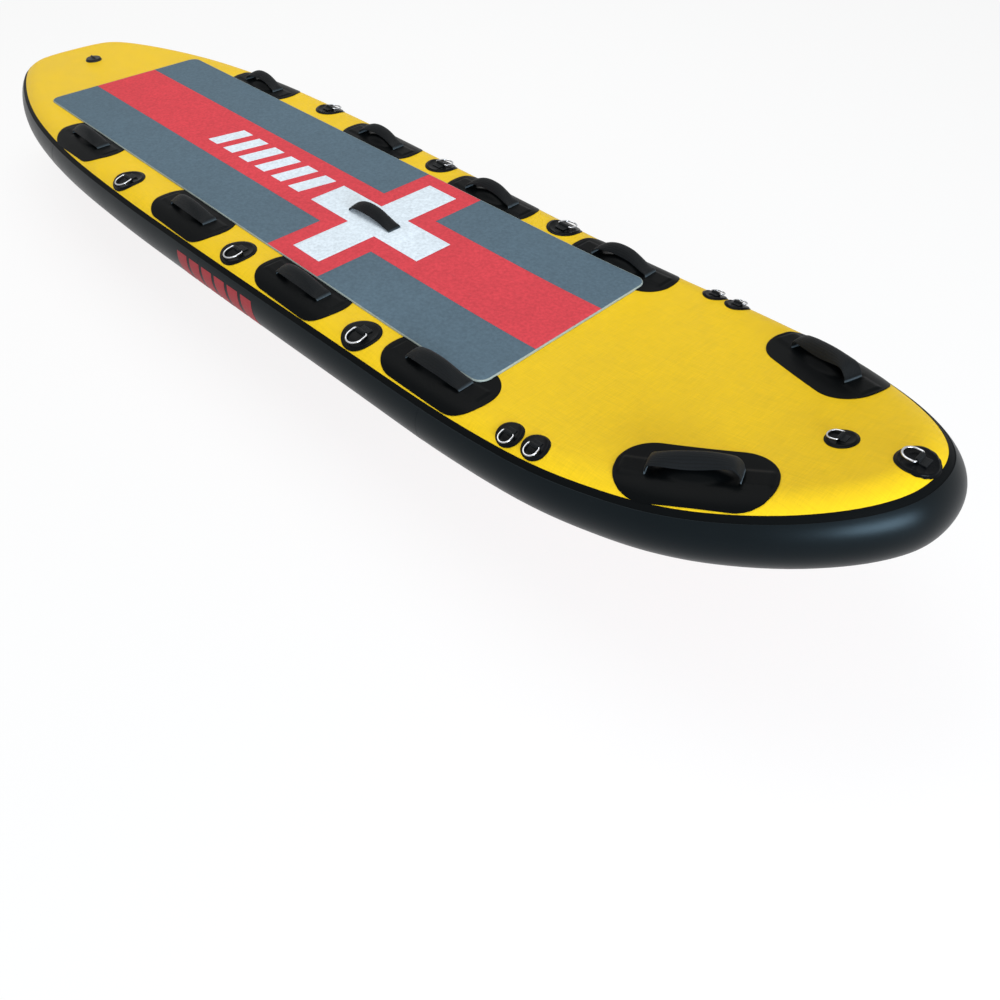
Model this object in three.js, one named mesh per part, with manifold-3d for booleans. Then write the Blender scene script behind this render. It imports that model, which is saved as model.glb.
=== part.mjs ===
// Inflatable lifeguard rescue board: a drop-stitch hull with grab handles, D-rings, deck pad,
// inflation valve and a removable fin, in millimetres.
// +X points to the nose, +Y to port and +Z up from the deck. The origin lies on the floor that the
// fin tip touches, under the middle of the board's length.
import * as THREE from 'three';
import { mergeVertices } from 'three/addons/utils/BufferGeometryUtils.js';
import Module from 'manifold-3d';

const wasm = await Module();
wasm.setup();

// Hull
const boardLength = 3496;
const boardBeam = 840;
const boardThickness = 150;
const noseRockerLength = 1226;
const noseRockerRise = 173;
const noseRockerPower = 2.8;
const skinThickness = 1.2;
const seamAngle = 45;
const stationsPerPoint = 2;
const shoulderSteps = 2;
const wallSteps = 4;

// Running gap between touching pieces, and how far a cut runs past what it cuts
const seatGap = 0.3;
const overrun = 20;

// Half of the plan outline from tail to nose: share of the length, share of the half beam
const outlineShares = [
  [0.0, 0.0], [0.0015, 0.22], [0.006, 0.35], [0.0165, 0.46], [0.036, 0.56], [0.085, 0.722],
  [0.153, 0.87], [0.248, 0.971], [0.365, 1.0], [0.461, 0.99], [0.577, 0.966], [0.673, 0.943],
  [0.759, 0.928], [0.821, 0.898], [0.858, 0.851], [0.891, 0.788], [0.922, 0.69], [0.958, 0.519],
  [0.984, 0.331], [0.9965, 0.168], [1.0, 0.0],
];

// Deck pad: a grey foam sheet with a red panel let into it, and a white cross let into the red
const crossFromTailShare = 0.5564;
const padFrontFromNose = 857;
const padRearFromTail = 495;
const padWidthShare = 0.6475;
const padCorner = 30;
const padThickness = 5;
const padRim = 5;
const inlayDepth = 2.5;
const redStripeWidth = 214;
const redBandWidth = 220;
const crossSpan = 455;
const crossArmWidth = 112;

// Grab handles: a black patch, and webbing that arches over a soft hump from slot to slot
const patchThickness = 1.2;
const handlePatchLength = 305;
const handlePatchWidth = 150;
const noseHandlePatchLength = 286;
const handlePatchCorner = 70;
const webbingWidth = 40;
const webbingThickness = 3;
const handleSpan = 170;
const handleHeight = 46;
const humpLength = 130;
const humpWidth = 46;
const humpHeight = 17;
const slotBlockLength = 48;
const slotBlockWidth = 50;
const slotBlockHeight = 4;
const slotBlockCorner = 8;
// Webbing centreline from one slot to the other: share of the half span, share of the height
const webbingShares = [
  [-1.0, 0.16], [-0.985, 0.42], [-0.86, 0.76], [-0.5, 0.95], [0.0, 1.0],
  [0.5, 0.95], [0.86, 0.76], [0.985, 0.42], [1.0, 0.16],
];
const webbingSteps = 12;

// Handles down the sides: shares of the length from the tail, and how far the webbing sits inboard of
// the patch's middle. Places across the board are measured along the deck's surface, from the seam.
const sideHandleShares = [0.7263, 0.5881, 0.4428, 0.2574];
const strapInboard = [0, 0, 4, 4];
const sideHandleMargin = 4;
const noseHandleFromNose = 364;
const noseHandleFromSeam = 81;
const noseHandleTurn = 24;
const centreHandleFromCross = -15;

// Three sizes of D-ring on a round patch with a raised middle and a webbing tab round the bar.
// The droop, in degrees, lets a ring's bow follow the round of the rail.
const largeRing = {
  patchRadius: 48, discRadius: 31, wireRadius: 2.5, width: 49, depth: 44, cornerRadius: 5.5,
  barOffset: 2, tabWidth: 31, tabStrip: 16, droop: 7,
};
const smallRing = {
  patchRadius: 30, discRadius: 20, wireRadius: 2, width: 33, depth: 29, cornerRadius: 4,
  barOffset: -1, tabWidth: 21, tabStrip: 10, droop: 0,
};
const noseRing = {
  patchRadius: 39, discRadius: 28, wireRadius: 2.5, width: 39, depth: 34, cornerRadius: 5,
  barOffset: 1, tabWidth: 24, tabStrip: 14, droop: 0,
};
const discThickness = 2.6;
const ringClearance = 0.4;
const tabWall = 1.5;
const tabSink = 8;
const ringSides = 5;
const ringArcSteps = 3;
// Rings down the sides: shares of the length from the tail, and distances from the seam
const largeRingShares = [0.6613, 0.5174, 0.3527];
const largeRingFromSeam = [50, 55, 50];
const smallRingShares = [0.7975, 0.8158];
const smallRingFromSeam = 33;
const noseSmallRingFromNose = 211;
const noseLargeRingFromNose = 78;

// Fin box on the bottom: a patch, and a moulded housing with a slot and a cross groove
const finBoxFromTail = 325;
const finPatchLength = 306;
const finPatchWidth = 155;
const finPatchCorner = 72;
const housingLength = 250;
const housingWidth = 44;
const housingHeight = 20;
const housingBevel = 3;
const slotLength = 216;
const slotWidth = 7;
const slotRoof = 3;
const grooveWidth = 13;
const grooveHeight = 5;
const grooveRoof = 1.5;
const pinMouthLength = 9;

// Fin
const finDepth = 230;
const finSweep = 268;
const finThickness = 7;
const finBevel = 2.6;
const finRootFromBox = 88;
const footLength = 164;
const tabLength = 14;
const tabHeight = 5;
const crossPinRadius = 2;
const screwRadius = 2;
const screwHeadRadius = 3;
const screwHeadHeight = 3;
const screwHole = 2.4;
const nutLength = 12;
const nutHeight = 3;
// Leading and trailing edges: share of the sweep behind the root, share of the depth
const leadingShares = [
  [0.0, 0.0], [0.075, 0.2], [0.21, 0.5], [0.377, 0.75], [0.54, 0.9], [0.74, 0.99], [0.9, 1.0],
];
const tipShares = [[0.9, 1.0], [0.985, 0.985], [1.0, 0.94], [0.975, 0.89]];
const trailingShares = [
  [0.975, 0.89], [0.885, 0.79], [0.77, 0.64], [0.69, 0.48], [0.63, 0.25], [0.612, 0.0],
];

// Inflation valve on the tail
const valveFromTail = 230;
const valveFlangeRadius = 28;
const valveFlangeHeight = 3.5;
const valveTubeRadius = 17;
const valveBoreRadius = 13;
const valveDepth = 40;
const valveSeatDepth = 32;
const valveSeatThickness = 3;
const valveSeatRadius = 9;
const plungerDiscRadius = 11.5;
const plungerDiscThickness = 2.5;
const plungerStemRadius = 3;
const plungerHeadRadius = 6;
const plungerHeadHeight = 3;
const plungerHeadDepth = 22;
const plungerTravel = 5;
const capRadius = 25;
const capThickness = 5;
const capPlugHeight = 3;
const gripLength = 34;
const gripWidth = 7;
const gripHeight = 7;
const roundSides = 18;

// Worked-out places
const halfLength = boardLength / 2;
const railRadius = boardThickness / 2;
const padWidth = padWidthShare * boardBeam;
const bottomHeight = finDepth;
const middleHeight = bottomHeight + railRadius;
const rockerStart = halfLength - noseRockerLength;
const deckHeight = bottomHeight + boardThickness;
const crossX = crossFromTailShare * boardLength - halfLength;
const valveX = valveFromTail - halfLength;
const finBoxX = finBoxFromTail - halfLength;
const housingTop = bottomHeight - seatGap - patchThickness;
const housingFace = housingTop - housingHeight;
const slotTop = housingTop - slotRoof;
const grooveTop = slotTop - grooveRoof;
const rootFront = finBoxX + finRootFromBox;

const finish = (color, roughness, metalness = 0) =>
  new THREE.MeshStandardMaterial({ color, roughness, metalness });
const materials = {
  yellow: finish(0xe8bd1c, 0.5),
  red: finish(0xb93a3e, 0.45),
  black: finish(0x1d2226, 0.45),
  patch: finish(0x23292d, 0.55),
  webbing: finish(0x16191c, 0.8),
  core: finish(0xd8d8d2, 0.8),
  greyFoam: finish(0x6d7b82, 0.9),
  redFoam: finish(0xc8474c, 0.9),
  whiteFoam: finish(0xe6ebee, 0.9),
  steel: finish(0xc9ccd0, 0.2, 1),
  plastic: finish(0x14171a, 0.5),
  valve: finish(0x2b2f33, 0.5),
};

const board = new THREE.Group();

function addPiece(name, shape, material) {
  const geometry = shape.isBufferGeometry ? shape : toGeometry(shape);
  const mesh = new THREE.Mesh(geometry, material);
  mesh.name = name;
  board.add(mesh);
}

// Joining and cutting

function toSolid(geometry) {
  const bare = geometry.clone();
  bare.deleteAttribute('normal');
  bare.deleteAttribute('uv');
  const merged = mergeVertices(bare);
  return new wasm.Manifold(new wasm.Mesh({
    numProp: 3,
    vertProperties: Float32Array.from(merged.attributes.position.array),
    triVerts: Uint32Array.from(merged.index.array),
  }));
}

function toGeometry(solid) {
  const { vertProperties, triVerts } = solid.getMesh();
  const geometry = new THREE.BufferGeometry();
  geometry.setAttribute('position', new THREE.BufferAttribute(vertProperties, 3));
  geometry.setIndex(new THREE.BufferAttribute(triVerts, 1));
  geometry.computeVertexNormals();
  return geometry;
}

function placedSolid(geometry, matrix) {
  return toSolid(geometry.clone().applyMatrix4(matrix));
}

// Hull shape

// Height of the hull's middle plane above its flat part, and its slope, at a place along the board
function rocker(x) {
  const share = Math.max(0, x - rockerStart) / noseRockerLength;
  return {
    rise: noseRockerRise * share ** noseRockerPower,
    slope: Math.atan(noseRockerPower * noseRockerRise * share ** (noseRockerPower - 1)
      / noseRockerLength),
  };
}

// A direction in plan, tilted with the rocker's slope
function tilted(x, y, z, slope) {
  return new THREE.Vector3(x, y, z).applyAxisAngle(new THREE.Vector3(0, 1, 0), -slope);
}

// The rail's centre line, which lies inside the outline by the rail's radius, as a loop of stations
// from the nose down the port side to the tail and back up the starboard side
function railStations() {
  const port = outlineShares.map(([along, across]) =>
    new THREE.Vector3(along * boardLength - halfLength, across * boardBeam / 2, 0)).reverse();
  const starboard = port.slice(1, -1).reverse().map((point) =>
    new THREE.Vector3(point.x, -point.y, 0));
  const outline = new THREE.CatmullRomCurve3([...port, ...starboard], true, 'centripetal');
  const half = stationsPerPoint * (outlineShares.length - 1);
  const stations = [];
  for (let i = 0; i <= half; i += 1) {
    const at = outline.getPoint(i / half / 2);
    const tangent = outline.getTangent(i / half / 2);
    const onCentreline = i === 0 || i === half;
    const outX = onCentreline ? Math.sign(at.x) : tangent.y;
    const outY = onCentreline ? 0 : -tangent.x;
    stations.push(station(at.x - railRadius * outX, onCentreline ? 0 : at.y - railRadius * outY,
      outX, outY));
  }
  for (let i = half - 1; i > 0; i -= 1) {
    const twin = stations[i];
    stations.push(station(twin.centre.x, -twin.centre.y, twin.outX, -twin.outY));
  }
  return stations;
}

function station(x, y, outX, outY) {
  const { rise, slope } = rocker(x);
  const centre = new THREE.Vector3(x, y, middleHeight + rise);
  const top = tilted(0, 0, 1, slope);
  const edge = centre.clone().addScaledVector(top, railRadius);
  return { centre, top, edge, outX, outY, out: tilted(outX, outY, 0, slope) };
}

const rail = railStations();

// One loop round the hull, at a radius from the rail's centre line and an angle from straight up
function hullLoop(radius, degrees) {
  const angle = THREE.MathUtils.degToRad(degrees);
  return rail.map(({ centre, out, top }) => centre.clone()
    .addScaledVector(out, radius * Math.sin(angle))
    .addScaledVector(top, radius * Math.cos(angle)));
}

function hullLoops(radius, angles) {
  return angles.map((degrees) => hullLoop(radius, degrees));
}

function steps(from, to, count) {
  return Array.from({ length: count + 1 }, (_, i) => from + (to - from) * i / count);
}

const shoulderAngles = steps(0, seamAngle, shoulderSteps);
const wallAngles = steps(seamAngle, 180 - seamAngle, wallSteps);
const bilgeAngles = steps(180 - seamAngle, 180, shoulderSteps);

// A closed body through the loops. It ends in flat strips across the board, or joins back into
// its first loop.
function loftHull(loops, joined) {
  const count = loops[0].length;
  const half = count / 2;
  const index = [];
  const last = joined ? loops.length : loops.length - 1;
  for (let k = 0; k < last; k += 1) {
    const here = k * count;
    const next = ((k + 1) % loops.length) * count;
    for (let i = 0; i < count; i += 1) {
      const j = (i + 1) % count;
      index.push(here + i, next + i, next + j, here + i, next + j, here + j);
    }
  }
  if (!joined) {
    const end = (loops.length - 1) * count;
    for (let i = 0; i < half; i += 1) {
      const twin = (count - i) % count;
      const nextTwin = count - i - 1;
      if (i < half - 1) {
        index.push(i, i + 1, nextTwin, end + i, end + nextTwin, end + i + 1);
      }
      if (i > 0) {
        index.push(i, nextTwin, twin, end + i, end + twin, end + nextTwin);
      }
    }
  }
  const geometry = new THREE.BufferGeometry().setFromPoints(loops.flat());
  geometry.setIndex(index);
  return geometry;
}

// A sheet over the deck or under the bottom, between two heights above the skin
function deckSheet(lift, thickness, angles = [...shoulderAngles, wallAngles[1]]) {
  const inner = railRadius + lift;
  const outer = inner + thickness;
  return loftHull([...hullLoops(outer, angles), ...hullLoops(inner, angles.toReversed())], false);
}

function bottomSheet(lift, thickness, angles = bilgeAngles) {
  const inner = railRadius + lift;
  const outer = inner + thickness;
  return loftHull([...hullLoops(inner, angles.toReversed()), ...hullLoops(outer, angles)], false);
}

function hullBody(radius) {
  const angles = [...shoulderAngles, ...wallAngles.slice(1, -1), ...bilgeAngles];
  return loftHull(hullLoops(radius, angles), false);
}

// Where a point measured along the deck's surface lies, with the surface's upward direction
function onDeck(x, y) {
  const planGap = ({ edge }) => Math.hypot(x - edge.x, y - edge.y);
  const nearest = rail.reduce((best, next) => (planGap(next) < planGap(best) ? next : best));
  const { centre, out, top, outX, outY, edge } = nearest;
  const beyond = (x - edge.x) * outX + (y - edge.y) * outY;
  if (beyond > 0) {
    const angle = beyond / railRadius;
    const along = (y - edge.y) * outX - (x - edge.x) * outY;
    const normal = top.clone().multiplyScalar(Math.cos(angle)).addScaledVector(out, Math.sin(angle));
    const point = centre.clone().addScaledVector(normal, railRadius)
      .addScaledVector(top.clone().cross(out), along);
    return { point, normal };
  }
  let middle = x;
  for (let turn = 0; turn < wallSteps; turn += 1) {
    middle = x + railRadius * Math.sin(rocker(middle).slope);
  }
  const { rise, slope } = rocker(middle);
  const normal = tilted(0, 0, 1, slope);
  const point = new THREE.Vector3(x, y, middleHeight + rise + railRadius * normal.z);
  return { point, normal };
}

// How far the seam lies from the centreline at a place along the board, along the deck's surface
function seamReach(x) {
  const port = rail.slice(0, rail.length / 2 + 1);
  const after = Math.max(1, port.findIndex(({ edge }) => edge.x < x));
  const [front, rear] = [port[after - 1].edge, port[after].edge];
  const share = THREE.MathUtils.clamp((front.x - x) / (front.x - rear.x), 0, 1);
  return THREE.MathUtils.lerp(front.y, rear.y, share)
    + railRadius * THREE.MathUtils.degToRad(seamAngle);
}

// A frame on the deck: local Z leaves the surface, and local Y points the given way in plan
function deckFrame(x, y, degrees) {
  const { point, normal } = onDeck(x, y);
  const heading = THREE.MathUtils.degToRad(degrees);
  const ahead = new THREE.Vector3(-Math.sin(heading), Math.cos(heading), 0);
  const sideways = ahead.cross(normal).normalize();
  const along = normal.clone().cross(sideways);
  return new THREE.Matrix4().makeBasis(sideways, along, normal).setPosition(point);
}

// Plan shapes

function roundedRectangle(length, width, corner) {
  const x = length / 2;
  const y = width / 2;
  const shape = new THREE.Shape();
  shape.moveTo(x, y - corner);
  shape.absarc(x - corner, y - corner, corner, 0, Math.PI / 2);
  shape.absarc(corner - x, y - corner, corner, Math.PI / 2, Math.PI);
  shape.absarc(corner - x, corner - y, corner, Math.PI, 3 * Math.PI / 2);
  shape.absarc(x - corner, corner - y, corner, 3 * Math.PI / 2, 2 * Math.PI);
  return shape;
}

function plusShape(spanX, spanY, armX, armY) {
  const corners = [
    [spanX, armY], [armX, armY], [armX, spanY], [-armX, spanY], [-armX, armY], [-spanX, armY],
    [-spanX, -armY], [-armX, -armY], [-armX, -spanY], [armX, -spanY], [armX, -armY], [spanX, -armY],
  ];
  return new THREE.Shape(corners.map(([x, y]) => new THREE.Vector2(x / 2, y / 2)));
}

// The outline of a patch that lies along the deck's surface, as it is seen from above
function drapedShape(shape, x, y, degrees, curveSteps) {
  const turn = THREE.MathUtils.degToRad(degrees);
  const points = shape.getPoints(curveSteps).map((corner) => {
    const flat = corner.clone().rotateAround(new THREE.Vector2(), turn);
    const { point } = onDeck(x + flat.x, y + flat.y);
    return new THREE.Vector2(point.x, point.y);
  });
  return new THREE.Shape(points);
}

// A straight column from under the hull to above it
function column(shape, x = 0, y = 0, curveSteps = 3) {
  const depth = boardThickness + noseRockerRise + 2 * overrun;
  const geometry = new THREE.ExtrudeGeometry(shape, {
    depth, bevelEnabled: false, curveSegments: curveSteps,
  });
  return toSolid(geometry.translate(x, y, bottomHeight - overrun));
}

// Hull pieces

function buildHull() {
  const valveHole = valveTubeRadius + seatGap;
  const holeDepth = valveDepth + plungerTravel + overrun;
  const hole = (depth) => toSolid(new THREE.CylinderGeometry(valveHole, valveHole, depth, roundSides)
    .rotateX(Math.PI / 2).translate(valveX, 0, deckHeight + overrun - depth / 2));
  const coreRadius = railRadius - skinThickness - seatGap;
  const core = toSolid(hullBody(coreRadius)).subtract(hole(holeDepth + overrun));
  addPiece('drop_stitch_core', core, materials.core);

  const deckSkin = toSolid(deckSheet(-skinThickness, skinThickness, shoulderAngles));
  addPiece('deck_skin', deckSkin.subtract(hole(2 * overrun)), materials.yellow);
  addPiece('bottom_skin', bottomSheet(-skinThickness, skinThickness), materials.red);

  const seamGap = THREE.MathUtils.radToDeg(seatGap / (railRadius - skinThickness));
  const angles = steps(seamAngle + seamGap, 180 - seamAngle - seamGap, wallSteps);
  const wall = loftHull([
    ...hullLoops(railRadius, angles),
    ...hullLoops(railRadius - skinThickness, angles.toReversed()),
  ], true);
  addPiece('rail_band', wall, materials.black);
}

// Handles

const sides = [['port', 1], ['starboard', -1]];

// Every handle patch: name, patch place, strap place and the turn of its length
function handlePlaces() {
  const places = [];
  for (const [side, sign] of sides) {
    sideHandleShares.forEach((share, i) => {
      const x = share * boardLength - halfLength;
      const y = seamReach(x) - sideHandleMargin - handlePatchWidth / 2;
      places.push({
        name: `${side}_${i + 1}`, x, y: sign * y, strapY: sign * (y - strapInboard[i]), turn: 0,
        length: handlePatchLength,
      });
    });
    const x = halfLength - noseHandleFromNose;
    const y = sign * (seamReach(x) - noseHandleFromSeam);
    places.push({
      name: `nose_${side}`, x, y, strapY: y, turn: -sign * noseHandleTurn,
      length: noseHandlePatchLength,
    });
  }
  return places;
}

// Webbing bent to its arch, with straight ends that run down past local Z zero, its width along Y
function webbingArch() {
  const centres = webbingShares.map(([along, above]) =>
    new THREE.Vector2(along * handleSpan / 2, above * handleHeight));
  const curve = new THREE.SplineCurve(centres);
  const side = (offset) => steps(0, 1, webbingSteps).map((share) => {
    const at = curve.getPointAt(share);
    const tangent = curve.getTangentAt(share);
    return new THREE.Vector2(at.x - offset * tangent.y, at.y + offset * tangent.x);
  });
  const half = webbingThickness / 2;
  const end = (x) => new THREE.Vector2(x, -overrun);
  const inner = [end(half - handleSpan / 2), ...side(-half), end(handleSpan / 2 - half)];
  const outer = [end(-half - handleSpan / 2), ...side(half), end(handleSpan / 2 + half)];
  const band = new THREE.Shape([...inner, ...outer.reverse()]);
  return new THREE.ExtrudeGeometry(band, { depth: webbingWidth, bevelEnabled: false })
    .rotateX(Math.PI / 2).translate(0, webbingWidth / 2, 0);
}

// The slots that the webbing's two ends go into
function webbingSlots(matrix) {
  const height = 2 * (slotBlockHeight + overrun);
  return [-1, 1].map((end) => placedSolid(
    new THREE.BoxGeometry(webbingThickness + 3 * seatGap, webbingWidth + 2 * seatGap, height)
      .translate(end * handleSpan / 2, 0, 0), matrix));
}

function handlePatchColumn({ x, y, turn, length }, grow) {
  const outline = roundedRectangle(length + 2 * grow, handlePatchWidth + 2 * grow,
    handlePatchCorner + grow);
  return column(drapedShape(outline, x, y, turn, 2));
}

function buildHandle(place, seat) {
  const matrix = deckFrame(place.x, place.strapY, place.turn);
  const hump = placedSolid(new THREE.SphereGeometry(1, 10, 6)
    .rotateX(Math.PI / 2).scale(humpLength / 2, humpWidth / 2, humpHeight), matrix);
  const block = new THREE.ExtrudeGeometry(
    roundedRectangle(slotBlockLength, slotBlockWidth, slotBlockCorner),
    { depth: slotBlockHeight + patchThickness + overrun, bevelEnabled: false, curveSegments: 1 });
  const blockFrom = handleSpan / 2 - 2 * webbingThickness + slotBlockLength / 2;
  let raised = hump;
  for (const end of [-1, 1]) {
    const placed = block.clone().translate(end * blockFrom, 0, -overrun);
    raised = raised.add(placedSolid(placed, matrix));
  }
  for (const slot of webbingSlots(matrix)) raised = raised.subtract(slot);
  const below = toSolid(hullBody(railRadius + seatGap));
  const sheet = handlePatchColumn(place, 0).intersect(toSolid(deckSheet(seatGap, patchThickness)));
  addPiece(`handle_patch_${place.name}`, sheet.add(raised.subtract(below)), materials.patch);

  const strap = placedSolid(webbingArch(), matrix);
  addPiece(`handle_strap_${place.name}`, strap.subtract(seat), materials.webbing);
}

function buildHandles() {
  const seat = toSolid(hullBody(railRadius + 2 * seatGap + patchThickness));
  for (const place of handlePlaces()) buildHandle(place, seat);
}

// Deck pad

function buildPad() {
  const front = halfLength - padFrontFromNose;
  const rear = padRearFromTail - halfLength;
  const length = front - rear;
  const middle = (front + rear) / 2;
  const padColumn = column(roundedRectangle(length, padWidth, padCorner), middle);
  const inlayLift = seatGap + padThickness - inlayDepth;
  const red = (grow) => {
    const stripe = roundedRectangle(length - 2 * padRim + 2 * grow, redStripeWidth + 2 * grow,
      padCorner / 2);
    const band = roundedRectangle(redBandWidth + 2 * grow, padWidth - 2 * padRim + 2 * grow,
      padCorner / 2);
    return column(stripe, middle).add(column(band, crossX));
  };
  const cross = (grow) => {
    const span = crossSpan + 2 * grow;
    const arm = crossArmWidth + 2 * grow;
    return column(plusShape(span, span, arm, arm), crossX);
  };
  const pocket = toSolid(deckSheet(inlayLift, inlayDepth + overrun));
  const inlay = toSolid(deckSheet(inlayLift + seatGap, inlayDepth - seatGap));
  const handle = deckFrame(crossX + centreHandleFromCross, 0, 0);

  let base = padColumn.intersect(toSolid(deckSheet(seatGap, padThickness)));
  base = base.subtract(red(seatGap).intersect(pocket));
  const underPatch = toSolid(deckSheet(-overrun, overrun + patchThickness + 2 * seatGap));
  for (const place of handlePlaces()) {
    base = base.subtract(handlePatchColumn(place, seatGap).intersect(underPatch));
  }
  let white = cross(0).intersect(inlay);
  for (const slot of webbingSlots(handle)) {
    base = base.subtract(slot);
    white = white.subtract(slot);
  }
  addPiece('pad_grey_sheet', base, materials.greyFoam);
  addPiece('pad_red_panel', red(0).intersect(inlay).subtract(cross(seatGap)), materials.redFoam);
  addPiece('pad_white_cross', white, materials.whiteFoam);

  const seat = toSolid(hullBody(railRadius + seatGap));
  const strap = placedSolid(webbingArch(), handle).subtract(seat);
  addPiece('handle_strap_centre', strap, materials.webbing);
}

// D-rings

// Height of the ring's bar above the top of the patch's raised middle
function barHeight(size) {
  return size.wireRadius + ringClearance + tabWall;
}

// The ring lies flat: its bar along local X, its bow towards local +Y
function dRing(size) {
  const { wireRadius, cornerRadius } = size;
  const x = size.width / 2 - wireRadius;
  const bow = new THREE.Shape();
  bow.moveTo(cornerRadius - x, 0);
  bow.lineTo(x - cornerRadius, 0);
  bow.lineTo(x - cornerRadius / 3, cornerRadius / 3);
  bow.lineTo(x, cornerRadius);
  bow.absarc(0, size.depth - size.width / 2 - wireRadius, x, 0, Math.PI);
  bow.lineTo(-x, cornerRadius);
  bow.lineTo(cornerRadius / 3 - x, cornerRadius / 3);
  const path = bow.getPoints(ringArcSteps);
  const count = path.length;
  const points = [];
  const index = [];
  path.forEach((point, i) => {
    const before = path[(i + count - 1) % count];
    const after = path[(i + 1) % count];
    const tangent = after.clone().sub(before).normalize();
    for (let k = 0; k < ringSides; k += 1) {
      const angle = 2 * Math.PI * k / ringSides;
      const outwards = wireRadius * Math.cos(angle);
      points.push(new THREE.Vector3(point.x + outwards * tangent.y,
        point.y - outwards * tangent.x, wireRadius * Math.sin(angle)));
      const next = ((i + 1) % count) * ringSides;
      const here = i * ringSides;
      const k2 = (k + 1) % ringSides;
      index.push(here + k, next + k, next + k2, here + k, next + k2, here + k2);
    }
  });
  const geometry = new THREE.BufferGeometry().setFromPoints(points);
  geometry.setIndex(index);
  return geometry;
}

// Webbing folded round the ring's bar, with its end welded down behind the bar
function ringTab(size) {
  const hole = size.wireRadius + ringClearance;
  const outer = hole + tabWall;
  const height = barHeight(size) + tabSink;
  const profile = new THREE.Shape();
  profile.moveTo(outer, 0);
  profile.lineTo(outer, height);
  profile.absarc(0, height, outer, 0, Math.PI);
  profile.lineTo(-outer, tabSink + tabWall);
  profile.lineTo(-outer - size.tabStrip, tabSink + tabWall);
  profile.lineTo(-outer - size.tabStrip, 0);
  const bore = new THREE.Path();
  bore.absarc(0, height, hole, 0, 2 * Math.PI, true);
  profile.holes.push(bore);
  return new THREE.ExtrudeGeometry(profile, {
    depth: size.tabWidth, bevelEnabled: false, curveSegments: 4,
  }).translate(0, 0, -size.tabWidth / 2).rotateY(Math.PI / 2).rotateX(Math.PI / 2);
}

function ringPlaces() {
  const places = [];
  for (const [side, sign] of sides) {
    const turn = sign > 0 ? 0 : 180;
    const addRing = (name, size, share, fromSeam) => {
      const x = share * boardLength - halfLength;
      places.push({ name, size, x, y: sign * (seamReach(x) - fromSeam), turn });
    };
    largeRingShares.forEach((share, i) => {
      addRing(`${side}_${i + 1}`, largeRing, share, largeRingFromSeam[i]);
    });
    smallRingShares.forEach((share, i) => {
      addRing(`small_${side}_${i + 1}`, smallRing, share, smallRingFromSeam);
    });
  }
  const smallX = halfLength - noseSmallRingFromNose;
  const largeX = halfLength - noseLargeRingFromNose;
  places.push({ name: 'nose_small', size: smallRing, x: smallX, y: 0, turn: 90 });
  places.push({ name: 'nose_large', size: noseRing, x: largeX, y: 0, turn: 90 });
  return places;
}

function buildRing({ name, size, x, y, turn }) {
  const circle = (radius) => {
    const round = new THREE.Shape();
    round.absarc(0, 0, radius, 0, 2 * Math.PI);
    return column(drapedShape(round, x, y, 0, 6));
  };
  const matrix = deckFrame(x, y, turn);
  const discTop = seatGap + discThickness;
  const sheet = circle(size.patchRadius).intersect(toSolid(deckSheet(seatGap, patchThickness)));
  const disc = circle(size.discRadius).intersect(toSolid(deckSheet(seatGap, discThickness)));
  const tab = placedSolid(ringTab(size).translate(0, -size.barOffset, discTop - tabSink), matrix);
  const below = toSolid(hullBody(railRadius + seatGap));
  addPiece(`d_ring_patch_${name}`, sheet.add(disc).add(tab.subtract(below)), materials.patch);

  const ring = dRing(size).rotateX(-THREE.MathUtils.degToRad(size.droop))
    .translate(0, -size.barOffset, discTop + barHeight(size));
  addPiece(`d_ring_${name}`, ring.applyMatrix4(matrix), materials.steel);
}

// Fin box and fin, in plan coordinates with heights below the bottom

function block(length, width, height, x, top) {
  return toSolid(new THREE.BoxGeometry(length, width, height).translate(x, 0, top - height / 2));
}

function buildFinBox() {
  const patch = column(roundedRectangle(finPatchLength, finPatchWidth, finPatchCorner), finBoxX)
    .intersect(toSolid(bottomSheet(seatGap, patchThickness)));
  const housing = new THREE.ExtrudeGeometry(
    roundedRectangle(housingLength - 2 * housingBevel, housingWidth - 2 * housingBevel,
      housingWidth / 2 - housingBevel),
    {
      depth: housingHeight + patchThickness - 2 * housingBevel, bevelThickness: housingBevel,
      bevelSize: housingBevel, bevelSegments: 1, curveSegments: 4,
    }).translate(finBoxX, 0, housingFace + housingBevel);
  const slotDepth = slotTop - housingFace;
  const slot = block(slotLength, slotWidth, slotDepth + overrun, finBoxX, slotTop);
  const groove = block(slotLength, grooveWidth, grooveHeight, finBoxX, grooveTop);
  const mouthX = finBoxX - slotLength / 2 + pinMouthLength / 2;
  const mouth = block(pinMouthLength, grooveWidth, slotDepth + overrun, mouthX, grooveTop);
  const box = toSolid(housing).add(patch).subtract(slot).subtract(groove).subtract(mouth);
  addPiece('fin_box', box, materials.plastic);
}

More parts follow.
